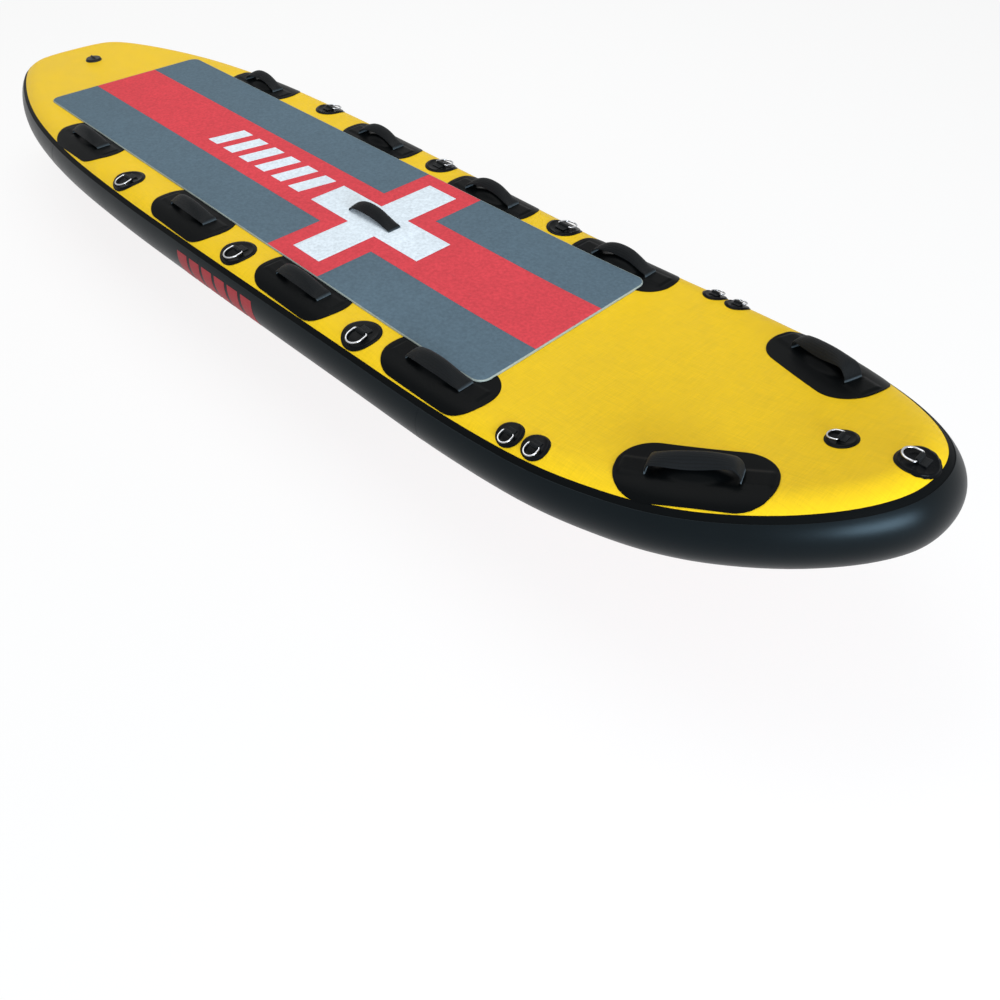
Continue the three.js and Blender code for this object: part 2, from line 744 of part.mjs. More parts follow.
function buildFin() {
  const bladeTop = housingFace - seatGap;
  const place = ([back, below]) =>
    new THREE.Vector2(rootFront - back * finSweep, bladeTop - below * bladeTop);
  const outline = new THREE.Shape();
  outline.moveTo(...place(leadingShares[0]).toArray());
  for (const edge of [leadingShares, tipShares, trailingShares]) {
    outline.splineThru(edge.slice(1).map(place));
  }
  const blade = new THREE.ExtrudeGeometry(outline, {
    depth: finThickness - 2 * finBevel, bevelThickness: finBevel, bevelSize: finBevel,
    bevelOffset: -finBevel, bevelSegments: 1, curveSegments: 2,
  }).translate(0, 0, finBevel - finThickness / 2).rotateX(Math.PI / 2);

  const footWidth = slotWidth - 2 * seatGap;
  const footTop = slotTop - seatGap;
  const footX = rootFront + tabLength - footLength / 2;
  const foot = block(footLength, footWidth, footTop - bladeTop + finBevel, footX, footTop);
  const tabX = rootFront + tabLength / 2;
  const tabTop = bladeTop + tabHeight;
  const overTab = block(tabLength, slotWidth, footTop - tabTop, tabX, footTop);
  const underTab = block(tabLength, slotWidth, tabHeight, tabX, bladeTop);
  const pinLength = grooveWidth - 2 * seatGap;
  const grooveMiddle = grooveTop - grooveHeight / 2;
  const pinX = footX - footLength / 2 + 4 * crossPinRadius;
  const pin = toSolid(new THREE.CylinderGeometry(crossPinRadius, crossPinRadius, pinLength, 10)
    .translate(pinX, 0, grooveMiddle));
  const hole = toSolid(new THREE.CylinderGeometry(screwHole, screwHole, overrun, 12)
    .rotateX(Math.PI / 2).translate(tabX, 0, bladeTop));
  const fin = toSolid(blade).add(foot).subtract(overTab).subtract(underTab).add(pin).subtract(hole);
  addPiece('fin', fin, materials.plastic);

  const nutWidth = grooveWidth - 2 * seatGap;
  const nutTop = grooveTop - grooveHeight + seatGap + nutHeight;
  const nut = block(nutLength, nutWidth, nutHeight, tabX, nutTop).subtract(toSolid(
    new THREE.CylinderGeometry(screwHole, screwHole, overrun, 12)
      .rotateX(Math.PI / 2).translate(tabX, 0, nutTop)));
  addPiece('fin_nut_plate', nut, materials.steel);

  const headTop = bladeTop - seatGap;
  const shaft = nutTop - headTop + screwHeadHeight / 2;
  const screw = toSolid(new THREE.CylinderGeometry(screwRadius, screwRadius, shaft, 12)
    .rotateX(Math.PI / 2).translate(tabX, 0, nutTop - shaft / 2));
  const head = toSolid(new THREE.CylinderGeometry(screwHeadRadius, screwHeadRadius,
    screwHeadHeight, 12).rotateX(Math.PI / 2).translate(tabX, 0, headTop - screwHeadHeight / 2));
  addPiece('fin_screw', screw.add(head), materials.steel);
}

// Inflation valve, turned about the upright axis through its middle

function turned(profile) {
  const points = profile.map(([radius, depth]) => new THREE.Vector2(radius, depth));
  return new THREE.LatheGeometry([...points, points[0]], roundSides)
    .rotateX(Math.PI / 2).translate(valveX, 0, deckHeight);
}

function buildValve() {
  const flangeFoot = seatGap;
  const flangeTop = seatGap + valveFlangeHeight;
  const seatTop = -valveSeatDepth;
  const seatFoot = seatTop - valveSeatThickness;
  addPiece('valve_body', toSolid(turned([
    [valveBoreRadius, flangeTop], [valveBoreRadius, seatTop], [valveSeatRadius, seatTop],
    [valveSeatRadius, seatFoot], [valveBoreRadius, seatFoot], [valveBoreRadius, -valveDepth],
    [valveTubeRadius, -valveDepth], [valveTubeRadius, flangeFoot],
    [valveFlangeRadius, flangeFoot], [valveFlangeRadius, flangeTop],
  ])), materials.valve);

  const discTop = seatFoot - seatGap;
  const headTop = -plungerHeadDepth;
  addPiece('valve_plunger', toSolid(turned([
    [0, headTop], [0, discTop - plungerDiscThickness],
    [plungerDiscRadius, discTop - plungerDiscThickness], [plungerDiscRadius, discTop],
    [plungerStemRadius, discTop], [plungerStemRadius, headTop - plungerHeadHeight],
    [plungerHeadRadius, headTop - plungerHeadHeight], [plungerHeadRadius, headTop],
  ])), materials.redFoam);

  const capFoot = flangeTop + seatGap;
  const capTop = capFoot + capThickness;
  const plugRadius = valveBoreRadius - seatGap;
  const cap = toSolid(turned([
    [0, capTop], [0, capFoot - capPlugHeight], [plugRadius, capFoot - capPlugHeight],
    [plugRadius, capFoot],
    [capRadius, capFoot], [capRadius, capTop],
  ]));
  const grip = block(gripLength, gripWidth, gripHeight + capThickness / 2, valveX,
    deckHeight + capTop + gripHeight);
  addPiece('valve_cap', cap.add(grip), materials.valve);
}

buildHull();
buildHandles();
buildPad();
for (const place of ringPlaces()) buildRing(place);
buildFinBox();
buildFin();
buildValve();

export default board;
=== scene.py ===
import math

import bmesh
import bpy
import numpy as np
from mathutils import Matrix, Vector


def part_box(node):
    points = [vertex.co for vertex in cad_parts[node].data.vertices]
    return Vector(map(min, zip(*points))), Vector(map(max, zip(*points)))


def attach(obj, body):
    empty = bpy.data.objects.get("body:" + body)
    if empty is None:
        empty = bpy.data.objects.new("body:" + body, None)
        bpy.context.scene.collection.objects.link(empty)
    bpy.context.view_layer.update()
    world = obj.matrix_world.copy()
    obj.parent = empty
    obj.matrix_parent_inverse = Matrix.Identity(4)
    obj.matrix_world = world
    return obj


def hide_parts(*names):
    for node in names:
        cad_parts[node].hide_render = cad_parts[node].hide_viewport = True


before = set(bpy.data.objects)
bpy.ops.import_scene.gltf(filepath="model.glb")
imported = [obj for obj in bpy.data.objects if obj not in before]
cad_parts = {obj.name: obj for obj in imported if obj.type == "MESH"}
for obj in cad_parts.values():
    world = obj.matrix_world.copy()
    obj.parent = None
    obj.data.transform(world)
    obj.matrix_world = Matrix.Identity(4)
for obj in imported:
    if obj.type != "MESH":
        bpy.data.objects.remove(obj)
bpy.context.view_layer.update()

# Sizes in metres, angles in degrees, outlines in shares. X runs to the nose, Y to port and Z up.
MM = 0.001

# Glue between the hull and what lies on it, and the hull's skins
GLUE = 0.3 * MM
SKIN = 1.2 * MM

# Hull
HULL_LENGTH = 3.496
HULL_BEAM = 0.840
RAIL_RADIUS = 0.075
BOTTOM = 0.230
DECK = BOTTOM + 2 * RAIL_RADIUS
MIDDLE = BOTTOM + RAIL_RADIUS
ROCKER_LENGTH = 1.226
ROCKER_RISE = 0.173
ROCKER_POWER = 2.8
ROCKER_START = HULL_LENGTH / 2 - ROCKER_LENGTH
SEAM_ANGLE = 45
LOWER_SEAM_ANGLE = 180 - SEAM_ANGLE
SKIN_EDGE_ANGLE = SEAM_ANGLE + 4
RAIL_TOP_ANGLE = 56
STATIONS_PER_SPAN = 6
OUTLINE = [
    (0.0, 0.0), (0.0015, 0.22), (0.006, 0.35), (0.0165, 0.46), (0.036, 0.56), (0.085, 0.722),
    (0.153, 0.87), (0.248, 0.971), (0.365, 1.0), (0.461, 0.99), (0.577, 0.966), (0.673, 0.943),
    (0.759, 0.928), (0.821, 0.898), (0.858, 0.851), (0.891, 0.788), (0.922, 0.69), (0.958, 0.519),
    (0.984, 0.331), (0.9965, 0.168), (1.0, 0.0),
]

# Deck pad
CROSS_X = 0.19717
PAD_FRONT = 0.891
PAD_REAR = -1.253
PAD_HALF_WIDTH = 0.27195
PAD_CORNER = 0.030
PAD_THICKNESS = 0.005
PAD_EDGE = 0.0022
PAD_STEP = 0.012
STRIPE_HALF = 0.107
BAND_HALF = 0.110
CROSS_HALF = 0.2275
CROSS_ARM = 0.056

# Handles
PATCH_LENGTH = 0.305
PATCH_WIDTH = 0.150
PATCH_CORNER = 0.070
PATCH_THICKNESS = 0.0012
WEBBING_WIDTH = 0.040
WEBBING_THICKNESS = 0.0028
HANDLE_SPAN = 0.170
HANDLE_HEIGHT = 0.046
HANDLE_LEAN = 10
SIDE_HANDLES = [(0.7911, 0.2974, 0.2974), (0.3080, 0.3095, 0.3095), (-0.2000, 0.3219, 0.3179),
                (-0.8481, 0.3142, 0.3102)]
NOSE_PATCH_LENGTH = 0.286
NOSE_HANDLE_X = 1.384
NOSE_HANDLE_Y = 0.2182
NOSE_HANDLE_TURN = 24
CENTRE_HANDLE_X = CROSS_X - 0.015

# D-rings
LARGE_RING = dict(patch=0.048, disc=0.0415, wire=0.0025, width=0.049, depth=0.044, corner=0.0055,
                  bar_back=0.002, tab_width=0.031, tab_strip=0.016, droop=7)
NOSE_RING = dict(patch=0.039, disc=0.034, wire=0.0025, width=0.039, depth=0.034, corner=0.005,
                 bar_back=0.001, tab_width=0.024, tab_strip=0.014, droop=0)
SMALL_RING = dict(patch=0.030, disc=0.0262, wire=0.002, width=0.033, depth=0.029, corner=0.004,
                  bar_back=-0.001, tab_width=0.021, tab_strip=0.010, droop=0)
DISC_THICKNESS = 0.0026
RING_CLEARANCE = 0.0004
TAB_WALL = 0.0015
LARGE_RINGS = [(0.5639, 0.3311), (0.0608, 0.3402), (-0.5150, 0.3533)]
SMALL_RINGS = [(1.0401, 0.3335), (1.1040, 0.3287)]
NOSE_SMALL_RING_X = 1.537
NOSE_LARGE_RING_X = 1.670

# Fin box and fin
FIN_BOX_X = 0.325 - HULL_LENGTH / 2
FIN_PATCH = (0.306, 0.155, 0.072)
HOUSING_LENGTH = 0.250
HOUSING_WIDTH = 0.044
HOUSING_HEIGHT = 0.020
HOUSING_FACE = BOTTOM - GLUE - PATCH_THICKNESS - HOUSING_HEIGHT
SLOT_LENGTH = 0.216
SLOT_WIDTH = 0.007
FIN_ROOT_X = FIN_BOX_X + 0.088
FIN_SWEEP = 0.268
FIN_THICKNESS = 0.007
FIN_TAB = 0.014
FOOT_LENGTH = 0.164
LEADING_EDGE = [
    (0.0, 0.0), (0.075, 0.2), (0.21, 0.5), (0.377, 0.75), (0.54, 0.9), (0.74, 0.985), (0.9, 1.0)]
TRAILING_EDGE = [
    (0.612, 0.0), (0.63, 0.25), (0.69, 0.48), (0.77, 0.64), (0.885, 0.79), (0.975, 0.89),
    (1.0, 0.94), (0.985, 0.985), (0.92, 1.0)]

# Inflation valve
VALVE_X = 0.230 - HULL_LENGTH / 2
VALVE_HOLE = 0.0185

# Marks on the rail, the pad and the underside
MARK_COUNT = 6
LAP_PLACES = (0.806, -0.051, -0.979)
RAIL_BAR_X = 0.196
RAIL_BAR_PITCH = 0.06
PAD_BAR = dict(length=0.112, width=0.052, slant=0.024)
PAD_BAR_X = CROSS_X - CROSS_HALF - 0.075
PAD_BAR_PITCH = 0.088
UNDER_BAR = dict(length=0.2, width=0.085, slant=0.05)
UNDER_BAR_PITCH = 0.145
SIDES = ((1, "port"), (-1, "starboard"))
UNDER_CROSS_X = -0.346
UNDER_BAR_X = UNDER_CROSS_X + 0.36

# The photograph's camera, in pixels of its frame, and where it stands in metres
FRAME_PIXELS = 1000
FOCAL_PIXELS = 964.34
CENTRE_PIXEL = (514.4, 278.0)
SENSOR_MM = 36
CAMERA_PLACE = (2.04064, -1.28979, 1.65768)
CAMERA_TURN = (2.02018028, 0.84244398, -0.46487008)


# Meshes into pieces

def placed_object(name, data):
    item = bpy.data.objects.new(name, data)
    bpy.context.scene.collection.objects.link(item)
    return item


def mesh_object(name, bm):
    mesh = bpy.data.meshes.new(name)
    bm.to_mesh(mesh)
    bm.free()
    return placed_object(name, mesh)


def add_piece(name, bm, material, node=None, body="board", sharp=None):
    """Makes the mesh a piece that rides on a body and, where a node is given, stands for it."""
    piece = mesh_object(name, bm)
    mesh = piece.data
    mesh.materials.append(material)
    mesh.polygons.foreach_set("use_smooth", [True] * len(mesh.polygons))
    if sharp:
        mesh.set_sharp_from_angle(angle=math.radians(sharp))
    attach(piece, body)
    if node:
        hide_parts(node)
    return piece


def face_out(bm):
    bmesh.ops.recalc_face_normals(bm, faces=bm.faces)


def moved(bm, matrix):
    bmesh.ops.transform(bm, matrix=matrix, verts=bm.verts)
    face_out(bm)
    return bm


def rounded_edges(bm, edges, rounding, segments):
    bmesh.ops.bevel(bm, geom=edges, offset=rounding, offset_type="OFFSET", segments=segments, profile=0.5,
                    affect="EDGES", material=-1, clamp_overlap=True)


def run_along(points):
    """How far along a path each of its points lies."""
    return np.concatenate([[0], np.cumsum(np.linalg.norm(np.diff(points, axis=0), axis=1))])


def grid(rows):
    """A sheet of quads through rows of points, an array of shape (rows, columns, 3)."""
    rows = np.asarray(rows, float)
    count, across = rows.shape[:2]
    bm = bmesh.new()
    bmesh.ops.create_grid(bm, x_segments=across - 1, y_segments=count - 1, size=0.5)
    bm.verts.index_update()
    for vert, place in zip(bm.verts, rows.reshape(-1, 3)):
        vert.co = place
    return bm


def lofted(rows, close_rows=False, close_columns=False, uv=None):
    """A sheet of quads through rows of points, joined up to a loop or a tube on demand."""
    rows = np.asarray(rows, float)
    if close_rows:
        rows = np.concatenate([rows, rows[:1]])
    if close_columns:
        rows = np.concatenate([rows, rows[:, :1]], axis=1)
    bm = grid(rows)
    if uv is not None:
        layer = bm.loops.layers.uv.new("UVMap")
        table = np.asarray(uv, float).reshape(-1, 2)
        for face in bm.faces:
            for loop in face.loops:
                loop[layer].uv = table[loop.vert.index]
    bmesh.ops.remove_doubles(bm, verts=bm.verts, dist=1e-6)
    face_out(bm)
    return bm


def close_ends(bm):
    """Fills every open edge loop and turns the faces outwards."""
    bmesh.ops.holes_fill(bm, edges=[edge for edge in bm.edges if edge.is_boundary], sides=0)
    face_out(bm)


def shell(bm, axis, side, thickness):
    """Turns a sheet's faces to the given side of an axis and thickens it inwards."""
    faces = bm.faces[:]
    if faces[len(faces) // 2].normal[axis] * side < 0:
        bmesh.ops.reverse_faces(bm, faces=faces)
    bmesh.ops.solidify(bm, geom=faces, thickness=thickness)
    face_out(bm)


def swept(path, section, axis, closed=False):
    """A bar along a flat path. The section's first number runs along the axis across the path."""
    path, section, axis = (np.asarray(values, float) for values in (path, section, axis))
    ahead = np.roll(path, -1, 0) - np.roll(path, 1, 0) if closed else np.gradient(path, axis=0)
    ahead /= np.linalg.norm(ahead, axis=1)[:, None]
    up = np.cross(ahead, axis)
    rows = [p + section[:, :1] * axis + section[:, 1:] * u for p, u in zip(path, up)]
    run = run_along(np.concatenate([path, path[:1]]) if closed else path)
    round_run = run_along(np.concatenate([section, section[:1]]))
    uv = [[(u, v) for v in round_run] for u in run]
    bm = lofted(rows, close_rows=closed, close_columns=True, uv=uv)
    if not closed:
        close_ends(bm)
    return bm


def smooth_path(points, count):
    """Evenly spaced points on a smooth curve through the given ones."""
    points = np.asarray(points, float)
    padded = np.concatenate([[2 * points[0] - points[1]], points, [2 * points[-1] - points[-2]]])
    fine = []
    for k in range(len(points) - 1):
        a, b, c, d = padded[k:k + 4]
        t = np.linspace(0, 1, 40, endpoint=False)[:, None]
        fine.append(0.5 * (2 * b + (c - a) * t + (2 * a - 5 * b + 4 * c - d) * t ** 2
                           + (3 * b - a - 3 * c + d) * t ** 3))
    fine = np.concatenate(fine + [points[-1:]])
    run = run_along(fine)
    even = np.linspace(0, run[-1], count)
    return np.stack([np.interp(even, run, fine[:, k]) for k in range(points.shape[1])], axis=1)


def flat_sheet(xs, ys, keep=None):
    """A flat sheet of quads on the given lines, without the faces whose middles keep() refuses."""
    bm = grid([[(x, y, 0) for x in xs] for y in ys])
    if keep:
        gone = [f for f in bm.faces if not keep(*f.calc_center_median().xy)]
        bmesh.ops.delete(bm, geom=gone, context="FACES")
    return bm


def thicken(bm, thickness, rounding, segments=2):
    """Turns a flat sheet into a slab that stands on its place, its upper rim rounded."""
    grown = bmesh.ops.extrude_face_region(bm, geom=bm.faces[:], use_keep_orig=True)["geom"]
    raised = [g for g in grown if isinstance(g, bmesh.types.BMVert)]
    bmesh.ops.translate(bm, verts=raised, vec=(0, 0, thickness))
    face_out(bm)
    rim = [e for e in bm.edges if len(e.link_faces) == 2 and all(v.co.z > thickness / 2 for v in e.verts)
           and abs(e.calc_face_angle(0)) > math.radians(60)]
    rounded_edges(bm, rim, rounding, segments)


def rounded_sheet(length, width, corner, along, in_corner, between):
    """A flat sheet of quads in a rounded rectangle, centred on the origin."""
    turn = np.linspace(0, math.pi / 2, in_corner + 1)
    low_y = -width / 2 + corner * (1 - np.cos(turn))
    low_x = length / 2 - corner * (1 - np.sin(turn))
    ys = np.concatenate([low_y[:-1], np.linspace(low_y[-1], -low_y[-1], between + 1), -low_y[::-1][1:]])
    ends = np.concatenate([low_x[:-1], np.full(between + 1, length / 2), low_x[::-1][1:]])
    return grid([[((2 * i / along - 1) * end, y, 0) for i in range(along + 1)] for y, end in zip(ys, ends)])


def block(size, place, rounding=0.0, segments=2, taper=(1, 1, 1)):
    """A block round its place, its upper face drawn in by the taper, its edges rounded."""
    bm = bmesh.new()
    bmesh.ops.create_cube(bm, size=1)
    bmesh.ops.scale(bm, vec=size, verts=bm.verts)
    bmesh.ops.scale(bm, vec=taper, verts=[v for v in bm.verts if v.co.z > 0])
    if rounding:
        rounded_edges(bm, bm.edges[:], rounding, segments)
    bmesh.ops.translate(bm, vec=place, verts=bm.verts)
    return bm


def spun(profile, steps):
    """A round shape from its radius and height profile, turned about Z."""
    bm = bmesh.new()
    verts = [bm.verts.new((r, 0, h)) for r, h in profile]
    edges = [bm.edges.new(pair) for pair in zip(verts, verts[1:])]
    bmesh.ops.spin(bm, geom=verts + edges, cent=(0, 0, 0), axis=(0, 0, 1), angle=2 * math.pi, steps=steps,
                   use_merge=True)
    bmesh.ops.remove_doubles(bm, verts=bm.verts, dist=1e-6)
    face_out(bm)
    return bm


# Hull shape

def rocker(x):
    """How far the hull's middle plane rises at a place along the board, and its slope there."""
    share = np.maximum(0, np.asarray(x, float) - ROCKER_START) / ROCKER_LENGTH
    slope = np.arctan(ROCKER_POWER * ROCKER_RISE * share ** (ROCKER_POWER - 1) / ROCKER_LENGTH)
    return ROCKER_RISE * share ** ROCKER_POWER, slope


def outline_stations():
    """The plan outline as a smooth closed loop, from the nose down the port side and back, and the
    way out of the hull at each of its points."""
    port = [(a * HULL_LENGTH - HULL_LENGTH / 2, b * HULL_BEAM / 2) for a, b in reversed(OUTLINE)]
    loop = np.array(port + [(x, -y) for x, y in port[-2:0:-1]])
    points, ways = [], []
    for k in range(len(loop)):
        p = np.roll(loop, 1 - k, axis=0)[:4]
        gaps = np.sqrt(np.linalg.norm(np.diff(p, axis=0), axis=1))
        lead, leave = (((b - a) / first - (c - a) / (first + second) + (c - b) / second) * gaps[1]
                       for a, b, c, first, second in ((*p[:3], *gaps[:2]), (*p[1:], *gaps[1:])))
        c2 = -3 * p[1] + 3 * p[2] - 2 * lead - leave
        c3 = 2 * p[1] - 2 * p[2] + lead + leave
        for t in np.arange(STATIONS_PER_SPAN) / STATIONS_PER_SPAN:
            points.append(p[1] + lead * t + c2 * t ** 2 + c3 * t ** 3)
            ways.append(lead + 2 * c2 * t + 3 * c3 * t ** 2)
    points, ways = np.array(points), np.array(ways)
    ways /= np.linalg.norm(ways, axis=1)[:, None]
    out = np.stack([ways[:, 1], -ways[:, 0]], axis=1)
    return points, out if out[0, 0] > 0 else -out


def tilted(vectors, slope):
    """Plan directions tilted with the rocker's slope."""
    x, y, z = np.asarray(vectors, float).T
    return np.stack([x * np.cos(slope) - z * np.sin(slope), y, x * np.sin(slope) + z * np.cos(slope)], axis=1)


outline_xy, out_xy = outline_stations()
centre_xy = outline_xy - RAIL_RADIUS * out_xy
rail_rise, rail_slope = rocker(centre_xy[:, 0])
STATIONS = len(centre_xy)
rail_centre = np.column_stack([centre_xy, MIDDLE + rail_rise])
rail_out = tilted(np.column_stack([out_xy, np.zeros(STATIONS)]), rail_slope)
rail_top = tilted(np.tile([0.0, 0.0, 1.0], (STATIONS, 1)), rail_slope)


def rail_loop(radius, degrees):
    """One loop round the hull at an angle from straight up."""
    angle = math.radians(degrees)
    return rail_centre + radius * (math.sin(angle) * rail_out + math.cos(angle) * rail_top)


def lay(flat, side=1):
    """Places points that are given as plan X, plan Y and height off the skin on the deck, or with
    side -1 on the bottom. Beyond the flat they follow the round of the rail."""
    flat = np.asarray(flat, float).reshape(-1, 3)
    edge = rail_loop(RAIL_RADIUS, 0 if side > 0 else 180)
    start, step = edge[:, :2], np.roll(edge[:, :2], -1, 0) - edge[:, :2]
    reach = flat[:, None, :2] - start
    share = np.clip((reach * step).sum(2) / (step * step).sum(1), 0, 1)
    k = np.linalg.norm(reach - share[..., None] * step, axis=2).argmin(1)
    share = share[np.arange(len(flat)), k][:, None]
    mixed = lambda values: values[k] + (values[(k + 1) % STATIONS] - values[k]) * share
    out = mixed(out_xy)
    out /= np.linalg.norm(out, axis=1)[:, None]
    beyond = ((flat[:, :2] - mixed(edge)[:, :2]) * out).sum(1)[:, None]
    middle = flat[:, 0]
    for _ in range(6):
        middle = flat[:, 0] + side * RAIL_RADIUS * np.sin(rocker(middle)[1])
    rise, slope = rocker(middle)
    up = tilted(np.tile([0.0, 0.0, 1.0], (len(flat), 1)), slope) * side
    inside = np.column_stack([flat[:, :2], MIDDLE + rise + RAIL_RADIUS * up[:, 2]]) + up * flat[:, 2:]
    angle = np.maximum(beyond, 0) / RAIL_RADIUS
    way = mixed(rail_top) * side * np.cos(angle) + mixed(rail_out) * np.sin(angle)
    way /= np.linalg.norm(way, axis=1)[:, None]
    outside = mixed(rail_centre) + way * (RAIL_RADIUS + flat[:, 2:])
    return np.where(beyond > 0, outside, inside)


def lay_mesh(bm, x=0.0, y=0.0, degrees=0.0, lift=GLUE, side=1):
    """Lays a flat mesh on the hull, turned in plan about its own middle."""
    turn = math.radians(degrees)
    a, b, height = np.array([v.co for v in bm.verts]).T
    flat = np.column_stack([x + a * math.cos(turn) - b * math.sin(turn),
                            y + a * math.sin(turn) + b * math.cos(turn), height + lift])
    for vert, place in zip(bm.verts, lay(flat, side)):
        vert.co = place
    if side < 0:
        bmesh.ops.reverse_faces(bm, faces=bm.faces)
    bm.normal_update()


def deck_frame(x, y, degrees):
    """A matrix on the deck: local Z leaves the skin, local Y points the given way in plan."""
    at, off = lay([(x, y, 0), (x, y, 1 * MM)])
    normal = Vector(off - at).normalized()
    turn = math.radians(degrees)
    sideways = Vector((-math.sin(turn), math.cos(turn), 0)).cross(normal).normalized()
    matrix = Matrix((sideways, normal.cross(sideways), normal)).transposed().to_4x4()
    matrix.translation = Vector(at)
    return matrix


# Shader groups and finishes

class Wiring:
    """Short ways to add nodes to a tree and join them."""

    def __init__(self, tree):
        self.tree = tree

    def node(self, kind, **values):
        node = self.tree.nodes.new("ShaderNode" + kind)
        for key, value in values.items():
            setattr(node, key, value)
        return node

    def put(self, socket, value):
        if isinstance(value, bpy.types.NodeSocket):
            self.tree.links.new(value, socket)
        else:
            socket.default_value = value

    def fill(self, node, **values):
        """Puts values in the inputs they name, with _ for a space, and gives the node's outputs."""
        for label, value in values.items():
            self.put(node.inputs[label.replace("_", " ")], value)
        return node.outputs

    def fed(self, kind, *values, **settings):
        """The first output of a new node with these inputs, in their order."""
        node = self.node(kind, **settings)
        for socket, value in zip(node.inputs, values):
            self.put(socket, value)
        return node.outputs[0]

    def math(self, operation, a, b=0.0):
        return self.fed("Math", a, b, operation=operation)

    def times(self, a, b):
        return self.math("MULTIPLY", a, b)

    def plus(self, a, b):
        return self.math("ADD", a, b)

    def noise(self, vector, scale, detail=2.0, roughness=0.5):
        node = self.node("TexNoise")
        return self.fill(node, Vector=vector, Scale=scale, Detail=detail, Roughness=roughness)["Fac"]

    def scaled(self, vector, scale):
        return self.fill(self.node("Mapping"), Vector=vector, Scale=scale)[0]

    def split(self, vector):
        return self.fill(self.node("SeparateXYZ"), Vector=vector)

    def ranged(self, value, low, high, to_low=0.0, to_high=1.0, clamp=True):
        return self.fed("MapRange", value, low, high, to_low, to_high, clamp=clamp)

    def spread(self, tone, low, high):
        """A noise's usual range drawn out from low to high."""
        return self.ranged(tone, 0.3, 0.7, low, high)

    def mix(self, share, first, second, blend="MIX"):
        node = self.node("Mix", data_type="RGBA", blend_type=blend)
        return self.fill(node, Factor=share, A=first, B=second)["Result"]

    def shaded(self, color, shade):
        return self.mix(1.0, color, shade, "MULTIPLY")

    def bump(self, height, distance, strength=1.0):
        node = self.node("Bump")
        return self.fill(node, Strength=strength, Distance=distance, Height=height)[0]

    def group(self, group, vector, **values):
        return self.fill(self.node("Group", node_tree=group), Vector=vector, **values)


def new_group(name, amount, default, outputs):
    """A shader group that works on a vector and one more value and gives values."""
    group = bpy.data.node_groups.new(name, "ShaderNodeTree")
    add = group.interface.new_socket
    add("Vector", in_out="INPUT", socket_type="NodeSocketVector")
    add(amount, in_out="INPUT", socket_type="NodeSocketFloat").default_value = default
    for label in outputs:
        add(label, in_out="OUTPUT", socket_type="NodeSocketFloat")
    source = group.nodes.new("NodeGroupInput").outputs
    return Wiring(group), source["Vector"], source[amount], group.nodes.new("NodeGroupOutput")


def make_weave_group():
    """Crossed threads: height and tone of a plain weave, at a pitch in metres."""
    w, vector, pitch, sink = new_group("plain_weave", "Pitch", 0.0012, ("Height", "Tone"))
    turns = w.math("DIVIDE", math.pi, pitch)
    over = w.times(*(w.math("SINE", w.times(along, turns)) for along in list(w.split(vector))[:2]))
    streaks = (w.noise(w.scaled(vector, scale), 1.0, 3.0) for scale in ((26, 480, 26), (480, 26, 26)))
    w.fill(sink, Height=w.math("ABSOLUTE", over), Tone=w.times(w.plus(*streaks), 0.5))
    return w.tree


def make_grain_group():
    """A fine pebbled grain, as on coated fabric and moulded plastic, at a pitch in metres."""
    w, vector, pitch, sink = new_group("pebble_grain", "Pitch", 0.001, ("Height", "Tone"))
    scale = w.math("DIVIDE", 1.0, pitch)
    cells = w.fill(w.node("TexVoronoi", feature="SMOOTH_F1"), Vector=vector, Scale=scale, Smoothness=0.6)
    rough = w.noise(vector, w.times(scale, 0.45), 3.0)
    w.fill(sink, Height=w.plus(w.times(cells["Distance"], 0.7), w.times(rough, 0.6)), Tone=rough)
    return w.tree


def make_scuff_group():
    """Sparse fine scratches and rubbed spots, as a mask."""
    w, vector, amount, sink = new_group("scuffs", "Amount", 0.5, ("Mask",))
    bent = w.fed("VectorMath", w.scaled(vector, (30, 260, 90)), w.noise(vector, 9.0), operation="ADD")
    lines = w.ranged(w.noise(bent, 1.0, 4.0, 0.6), 0.66, 0.74)
    areas = w.ranged(w.noise(vector, 5.0), 0.45, 0.7)
    w.fill(sink, Mask=w.times(w.times(lines, areas), amount))
    return w.tree


def make_cloud_group():
    """Slow change of tone over a surface, from soiling and from how the light has aged it."""
    w, vector, scale, sink = new_group("clouding", "Scale", 3.0, ("Tone",))
    broad = w.noise(vector, scale, 3.0, 0.55)
    near = w.noise(vector, w.times(scale, 6.0), 4.0, 0.6)
    w.fill(sink, Tone=w.plus(w.times(broad, 0.65), w.times(near, 0.35)))
    return w.tree


weave_group = make_weave_group()
grain_group = make_grain_group()
scuff_group = make_scuff_group()
cloud_group = make_cloud_group()


def linear(color):
    """A colour given as it looks on a screen, 0 to 255, as shader values."""
    shares = (v / 255 for v in color)
    return (*(v / 12.92 if v <= 0.04045 else ((v + 0.055) / 1.055) ** 2.4 for v in shares), 1.0)


def new_finish(name):
    material = bpy.data.materials.new(name)
    material.use_nodes = True
    material.node_tree.nodes.clear()
    w = Wiring(material.node_tree)
    shader = w.node("BsdfPrincipled")
    w.put(w.node("OutputMaterial").inputs[0], shader.outputs[0])
    return material, w, shader, w.node("TexCoord").outputs["Object"]


